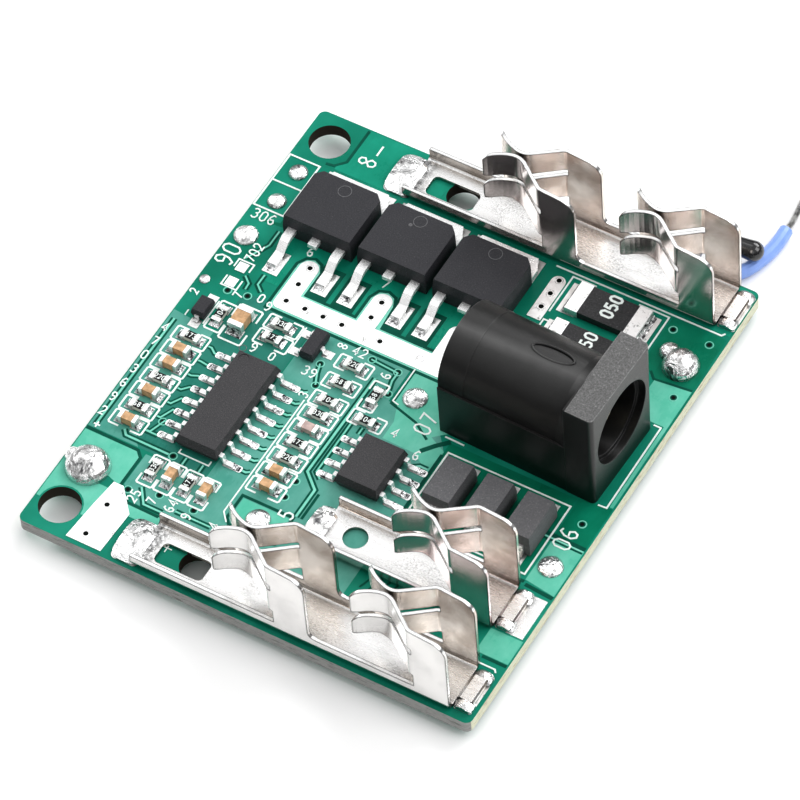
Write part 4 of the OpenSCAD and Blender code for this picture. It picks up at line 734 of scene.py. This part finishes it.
# x, y, height, turn, figures
NUMERALS = [
    (-13.6, 19.9, 1.5, 90, "8"), (-20.0, 11.05, 0.95, 0, "306"), (-17.25, 7.0, 0.85, 90, "702"),
    (-18.75, 5.75, 1.5, 90, "90"), (3.95, -1.4, 1.35, 90, "07"), (19.15, -5.9, 1.4, 90, "06"),
    (-1.35, -13.6, 1.2, 90, "5"), (-13.9, 9.75, 0.85, 0, "6"), (-6.9, 9.75, 0.85, 0, "7"),
    (-6.1, 2.9, 0.8, 90, "8"), (-5.55, 2.85, 0.85, 0, "42"), (-8.15, -0.75, 0.85, 0, "39"),
    (-13.0, -0.75, 0.85, 0, "9"), (-11.2, -0.8, 0.75, 0, "0"), (-16.2, 3.35, 0.8, 90, "7"),
    (-15.0, 3.8, 0.8, 0, "0"), (-14.1, 3.35, 0.85, 0, "9"), (-1.55, 1.95, 0.8, 90, "6"),
    (1.3, -2.75, 0.85, 0, "4"), (3.9, -3.85, 0.85, 0, "6"), (-6.4, -2.75, 0.75, 90, "3"),
    (-13.1, -17.9, 0.8, 90, "25"), (-11.6, -17.35, 0.8, 90, "7"), (-10.0, -17.35, 0.8, 90, "64"),
    (-8.4, -17.35, 0.8, 90, "9"), (-6.0, -17.1, 0.85, 90, "4"), (-19.6, 2.1, 0.7, 90, "2"),
]
for x, y, size, turn, text in NUMERALS:
    figures(text, x, y, size, turn, 0.15 if size > 1.1 else 0.12)
for i, y in enumerate(ROWS):
    figures(str((i * 3 + 4) % 10), -20.35, y - 0.37, 0.8, 0, 0.12)
line([(-14.0, 21.3), (-14.0, 22.4)], 0.16)
figures("+", -9.0, -21.1, 1.5, 0, 0.09)
figures("+", -20.1, -13.25, 1.0, 0, 0.14)

# ------------------------------------------------ tones, tracks and pours

# pours along the back edge and in front of the power transistors
zone(field, [(-15.7, 23.35), (-15.7, 19.6), (-16.4, 18.9), (-16.4, 18.5), (-7.2, 18.5),
             (-7.2, 23.35)])
zone(field, [(-7.2, 23.35), (-7.2, 22.6), (-4.0, 22.6), (-4.0, 19.3), (-7.2, 19.3), (-7.2, 18.5),
             (20.3, 18.5), (20.3, 23.35)])
for x in (-16.0, -8.9, -1.8):
    zone(field, [(x, 5.9), (x + 4.4, 5.9), (x + 4.4, 12.4), (x, 12.4)])
# the quiet fields round the chips
zone(muted, [(-16.3, 4.2), (-9.5, 4.1), (-9.5, -13.1), (-15.6, -13.1), (-16.3, -12.4)])
zone(pale, [(-20.4, 0.0), (-16.4, -0.4), (-16.4, -12.4), (-15.7, -13.1), (-20.4, -13.1)])
zone(pale, [(-9.4, 3.7), (-3.2, 3.7), (-0.5, 3.9), (-0.5, 0.2), (4.9, -0.9), (5.8, -2.0),
            (5.8, -17.9), (-13.2, -17.9),
            (-14.8, -16.7), (-14.8, -13.4), (-9.4, -13.3)])
# bright pours round the battery and tap joints, one of them arched over the mounting hole
zone(pour, [(-20.4, -13.5), (-15.6, -13.5), (-15.1, -14.0), (-15.1, -17.0), (-16.3, -16.6),
            (-17.0, -18.3), (-20.4, -18.3)])
zone(pour, [(-15.1, -16.9), (-13.7, -18.15), (-8.0, -18.15), (-8.0, -19.2), (-15.3, -19.2),
            (-15.6, -17.2)])
arch = [(x + MOUNT[0], y - MOUNT[1]) for x, y in disc(0, 0, 1.9, 24)[:13]]
zone(pour, [(-20.4, -20.8), (-20.4, -17.6), (-14.9, -17.6), (-14.9, -20.8)] + arch)
zone(pour, [(-5.75, -13.4), (-1.5, -13.4), (-1.5, -15.9), (-5.3, -15.9), (-5.75, -15.5)])
zone(pour, [(0.0, 4.0), (6.0, 4.0), (6.0, 0.2), (4.2, -1.4), (2.6, -0.4), (0.0, 0.2)])
zone(pour, [(0.3, 0.2), (2.4, -0.35), (5.9, -2.1), (5.9, -4.6), (3.9, -3.3), (0.9, -3.2),
            (0.9, -1.4)])
zone(pour, [(17.6, -5.3), (20.35, -5.3), (20.35, -10.1), (17.6, -9.7)])
zone(pour, [(17.5, -14.9), (20.35, -14.9), (20.35, -17.3), (17.5, -17.3)])
zone(pour, [(17.1, 11.9), (20.3, 12.4), (20.3, -0.6), (20.0, -0.6), (20.0, 8.2), (17.0, 8.2)])
# dark fields beside the jack, under the diodes and by the left edge
zone(bare, [(15.4, 18.1), (20.3, 18.1), (20.3, 12.6), (17.0, 12.1), (15.4, 13.0)])
zone(bare, [(17.5, -0.9), (20.35, -0.7), (20.35, -4.9), (17.5, -4.9)])
zone(bare, [(5.9, -1.1), (17.4, -1.1), (17.4, -9.4), (5.9, -9.4)])
zone(bare, [(-19.8, 11.0), (-15.9, 11.4), (-15.9, 12.3), (-17.4, 12.3), (-17.4, 11.6)])

# the lines between the fields
dark([(-20.4, -13.3), (-15.55, -13.35), (-15.0, -13.9), (-15.0, -16.9), (-13.65, -18.1),
      (-10.7, -18.15)], 0.26)
dark([(-15.85, 23.3), (-15.85, 19.6), (-16.6, 18.8), (-17.3, 18.7)], 0.24)
dark([(-5.95, -13.2), (-1.3, -13.2), (-1.3, -16.1), (-5.5, -16.1), (-5.95, -15.6)], 0.26, True)
dark([(-0.2, 4.1), (-0.2, 0.1), (2.5, -0.65), (4.1, -1.7)], 0.22)
dark([(5.9, -1.0), (5.0, -1.9), (4.2, -2.9)], 0.42)
dark([(15.9, -4.95), (20.35, -5.05)], 0.3)
dark([(17.8, -10.1), (20.35, -10.3)], 0.32)
dark([(18.2, -17.5), (20.35, -17.5)], 0.26)
line([(17.9, -18.15), (19.7, -18.15), (19.9, -18.4)], 0.14)
dark([(16.4, 12.6), (17.0, 12.0), (20.3, 12.35)], 0.22)
dark([(5.9, -2.4), (5.9, -9.6), (17.6, -9.9)], 0.26)

# bare laminate round the comb and the power pads
COMB = [
    (-13.75, 4.0), (3.2, 4.0), (3.2, 5.85), (-4.9, 5.85), (-5.1, 8.4), (-5.4, 9.1), (-5.95, 9.3),
    (-6.5, 9.1), (-6.8, 8.4), (-6.8, 5.85), (-12.05, 5.85), (-12.05, 8.6), (-12.4, 9.2),
    (-12.9, 9.4), (-13.4, 9.2), (-13.75, 8.6),
]
dark(COMB, 0.9, True)
track.strip(COMB, 0.42, *LOW_TRACK_Z, closed=True, draft=0.05)
for i in range(3):
    for side in (-1, 1):
        x = FET_X + FET_PITCH * i + side * FET_LEAD
        if i or side > 0:
            gap.prism(rect(x - 1.0, 6.3, x + 1.0, 9.6), *GAP_Z)
run([(-13.85, 8.2), (-13.85, 4.7), (-13.2, 3.95), (-9.6, 3.95)], 0.2)

# tracks from the control chip's pins, then the others
for y, pin in zip(ROWS, PINS):
    run([(-16.0, y), (-15.7, y), (-15.2, pin), (-14.9, pin)], 0.2, 0.13)
for pin in PINS:
    run([(-7.6, pin), (-6.9, pin), (-6.6, pin + 0.2)], 0.24, 0.13)
# path, width
TRACKS = [
    ([(-19.9, -0.8), (-19.9, -12.8)], 0.24),
    ([(-17.6, -12.1), (-17.2, -12.55), (-13.2, -12.57)], 0.24),
    ([(-16.1, -11.4), (-14.95, -11.4)], 0.2), ([(-11.75, -12.2), (-11.75, -12.95)], 0.2),
    ([(-10.2, -12.2), (-10.2, -12.95)], 0.2),
    ([(-13.4, -16.3), (-12.4, -17.65), (-10.7, -17.65)], 0.22),
    ([(-9.8, -17.05), (-6.6, -17.05)], 0.2),
    ([(-2.55, 1.6), (-2.65, -8.8), (-1.2, -10.1), (-1.2, -13.0)], 0.26),
    ([(-2.0, -3.1), (-2.0, -8.5), (-1.4, -9.0)], 0.2), ([(-0.95, -3.1), (-0.95, -3.8)], 0.2),
    ([(-15.75, 6.4), (-15.75, 5.3), (-15.1, 4.75)], 0.2),
    ([(-17.1, 5.6), (-16.45, 5.05), (-16.4, 4.4)], 0.2),
    ([(-7.2, 0.8), (-6.9, -0.2), (-6.45, -1.2)], 0.2),
    ([(-0.9, 0.7), (-1.25, 2.0), (-1.25, 2.9), (-3.8, 3.1)], 0.2),
    ([(16.6, -5.3), (20.3, -5.35)], 0.2), ([(-18.0, 7.2), (-17.0, 9.2), (-17.0, 10.8)], 0.2),
    ([(4.3, -4.6), (4.9, -4.2), (5.6, -4.2)], 0.24),
]
for path, width in TRACKS:
    run(path, width)
dark([(-0.7, -10.3), (-0.7, -13.0)], 0.24)
for x in (6.6, 7.3, 8.0, 8.7):
    dark([(x, -16.4), (x + 0.5, -14.9)], 0.16)

# plated holes: a ring of copper, or of mask, round a mouth painted dark as shadow; and the bare
# strip that lies beside the short clip's tab
VIAS = [
    (-12.85, 8.7), (-12.85, 6.85), (-12.85, 4.95), (-11.1, 4.95), (-9.4, 4.95), (-7.65, 4.95),
    (-5.95, 8.4), (-5.95, 6.7), (-4.1, 4.95), (5.55, 17.05), (5.55, 15.6), (5.55, 14.1),
    (-14.9, -19.05), (-14.9, -22.2), (-0.4, 4.95), (1.45, 4.9),
]
rings = Layer("via_rings", "lead", "tinned_copper")
rings.prism([(18.7, -10.75), (20.2, -10.75), (20.2, -14.75), (18.7, -14.75)], *PAD_Z)
for x, y in VIAS:
    holes.prism(disc(x, y, 0.24, 14), *LOW_TRACK_Z)
    rings.strip(disc(x, y, 0.33, 18), 0.12, SEAT - 0.02, SEAT + 0.02, closed=True, draft=0.03)
rings.make()
MASKED_VIAS = [
    (-7.18, 0.79), (-6.42, -1.24), (-0.87, 0.74), (-1.26, 2.96), (-3.72, 3.1), (-12.8, -12.55),
    (-17.6, 3.66), (-15.87, 3.9), (-15.3, -10.05), (-11.75, -16.3), (-8.6, -16.3), (-14.25, -17.0),
    (-2.95, -10.1), (-2.95, -11.8), (18.92, -3.05), (16.0, 17.03), (19.28, 17.03), (19.28, 11.1),
]
for x, y in MASKED_VIAS:
    gap.prism(disc(x, y, 0.27, 20), *GAP_DISC_Z)
    track.strip(disc(x, y, 0.33, 18), 0.13, *RING_Z, closed=True, draft=0.03)
    holes.prism(disc(x, y, 0.17, 14), *MOUTH_Z)

for layer in (bare, muted, field, pale, pour, gap, track, holes, silk):
    layer.make()

# ------------------------------------------------ studio

floor = bpy.data.meshes.new("floor")
floor.from_pydata([(x, y, TABLE * MM) for x, y in rect(-3, -3, 3, 3)], [], [(0, 1, 2, 3)])
floor = bpy.data.objects.new("floor", floor)
scene.collection.objects.link(floor)
m, tree, shader = new_material("pale_floor")
shader.inputs["Base Color"].default_value = (0.93, 0.93, 0.93, 1)
shader.inputs["Roughness"].default_value = 0.9
shader.inputs["Specular IOR Level"].default_value = 0.1
floor.data.materials.append(m)

world = bpy.data.worlds.new("studio")
scene.world = world
world.use_nodes = True
tree = world.node_tree
tree.nodes.clear()
out = tree.nodes.new("ShaderNodeOutputWorld")
back = tree.nodes.new("ShaderNodeBackground")
where = tree.nodes.new("ShaderNodeTexCoord")
parts = tree.nodes.new("ShaderNodeSeparateXYZ")
tree.links.new(where.outputs["Generated"], parts.inputs[0])
sky = ramp(tree, parts.outputs[2], [(0.0, grey(0.62)), (0.10, grey(0.16)), (0.34, grey(0.20)),
                                    (0.55, grey(0.85)), (1.0, grey(0.95))])
tree.links.new(sky, back.inputs["Color"])
back.inputs["Strength"].default_value = 0.75
tree.links.new(back.outputs[0], out.inputs[0])


def softbox(name, at, width, height, watts):
    """A soft rectangular light that faces the board, in metres."""
    light = bpy.data.lights.new(name, "AREA")
    light.shape = "RECTANGLE"
    light.size = width
    light.size_y = height
    light.energy = watts
    o = bpy.data.objects.new(name, light)
    scene.collection.objects.link(o)
    at = Vector(at)
    o.matrix_world = Matrix.Translation(at) @ (-at).to_track_quat("-Z", "Y").to_matrix().to_4x4()


softbox("softbox_left", (-0.42, 0.10, 0.42), 0.36, 0.5, 0.8)
softbox("softbox_back", (0.10, 0.50, 0.42), 0.45, 0.3, 2.0)
softbox("softbox_right", (0.45, 0.10, 0.45), 0.36, 0.4, 1.3)
softbox("softbox_front", (0.10, -0.55, 0.35), 0.4, 0.4, 0.35)

camera = bpy.data.cameras.new("camera")
camera.lens = 263.5
camera.sensor_width = 36
camera.clip_start = 0.01
camera.clip_end = 20
camera = bpy.data.objects.new("camera", camera)
scene.collection.objects.link(camera)
scene.camera = camera
eye = Vector((0.15692, -0.22952, 0.37336))
aim = Vector((0.00025, 0.00070, 0.0012))
forward = (aim - eye).normalized()
right = Vector((0.8623, 0.5038, -0.0513))
right = (right - forward * right.dot(forward)).normalized()
up = right.cross(forward)
turn = Matrix((right, up, -forward)).transposed().to_4x4()
camera.matrix_world = Matrix.Translation(eye) @ turn

scene.view_settings.view_transform = "Standard"
scene.view_settings.look = "Medium High Contrast"
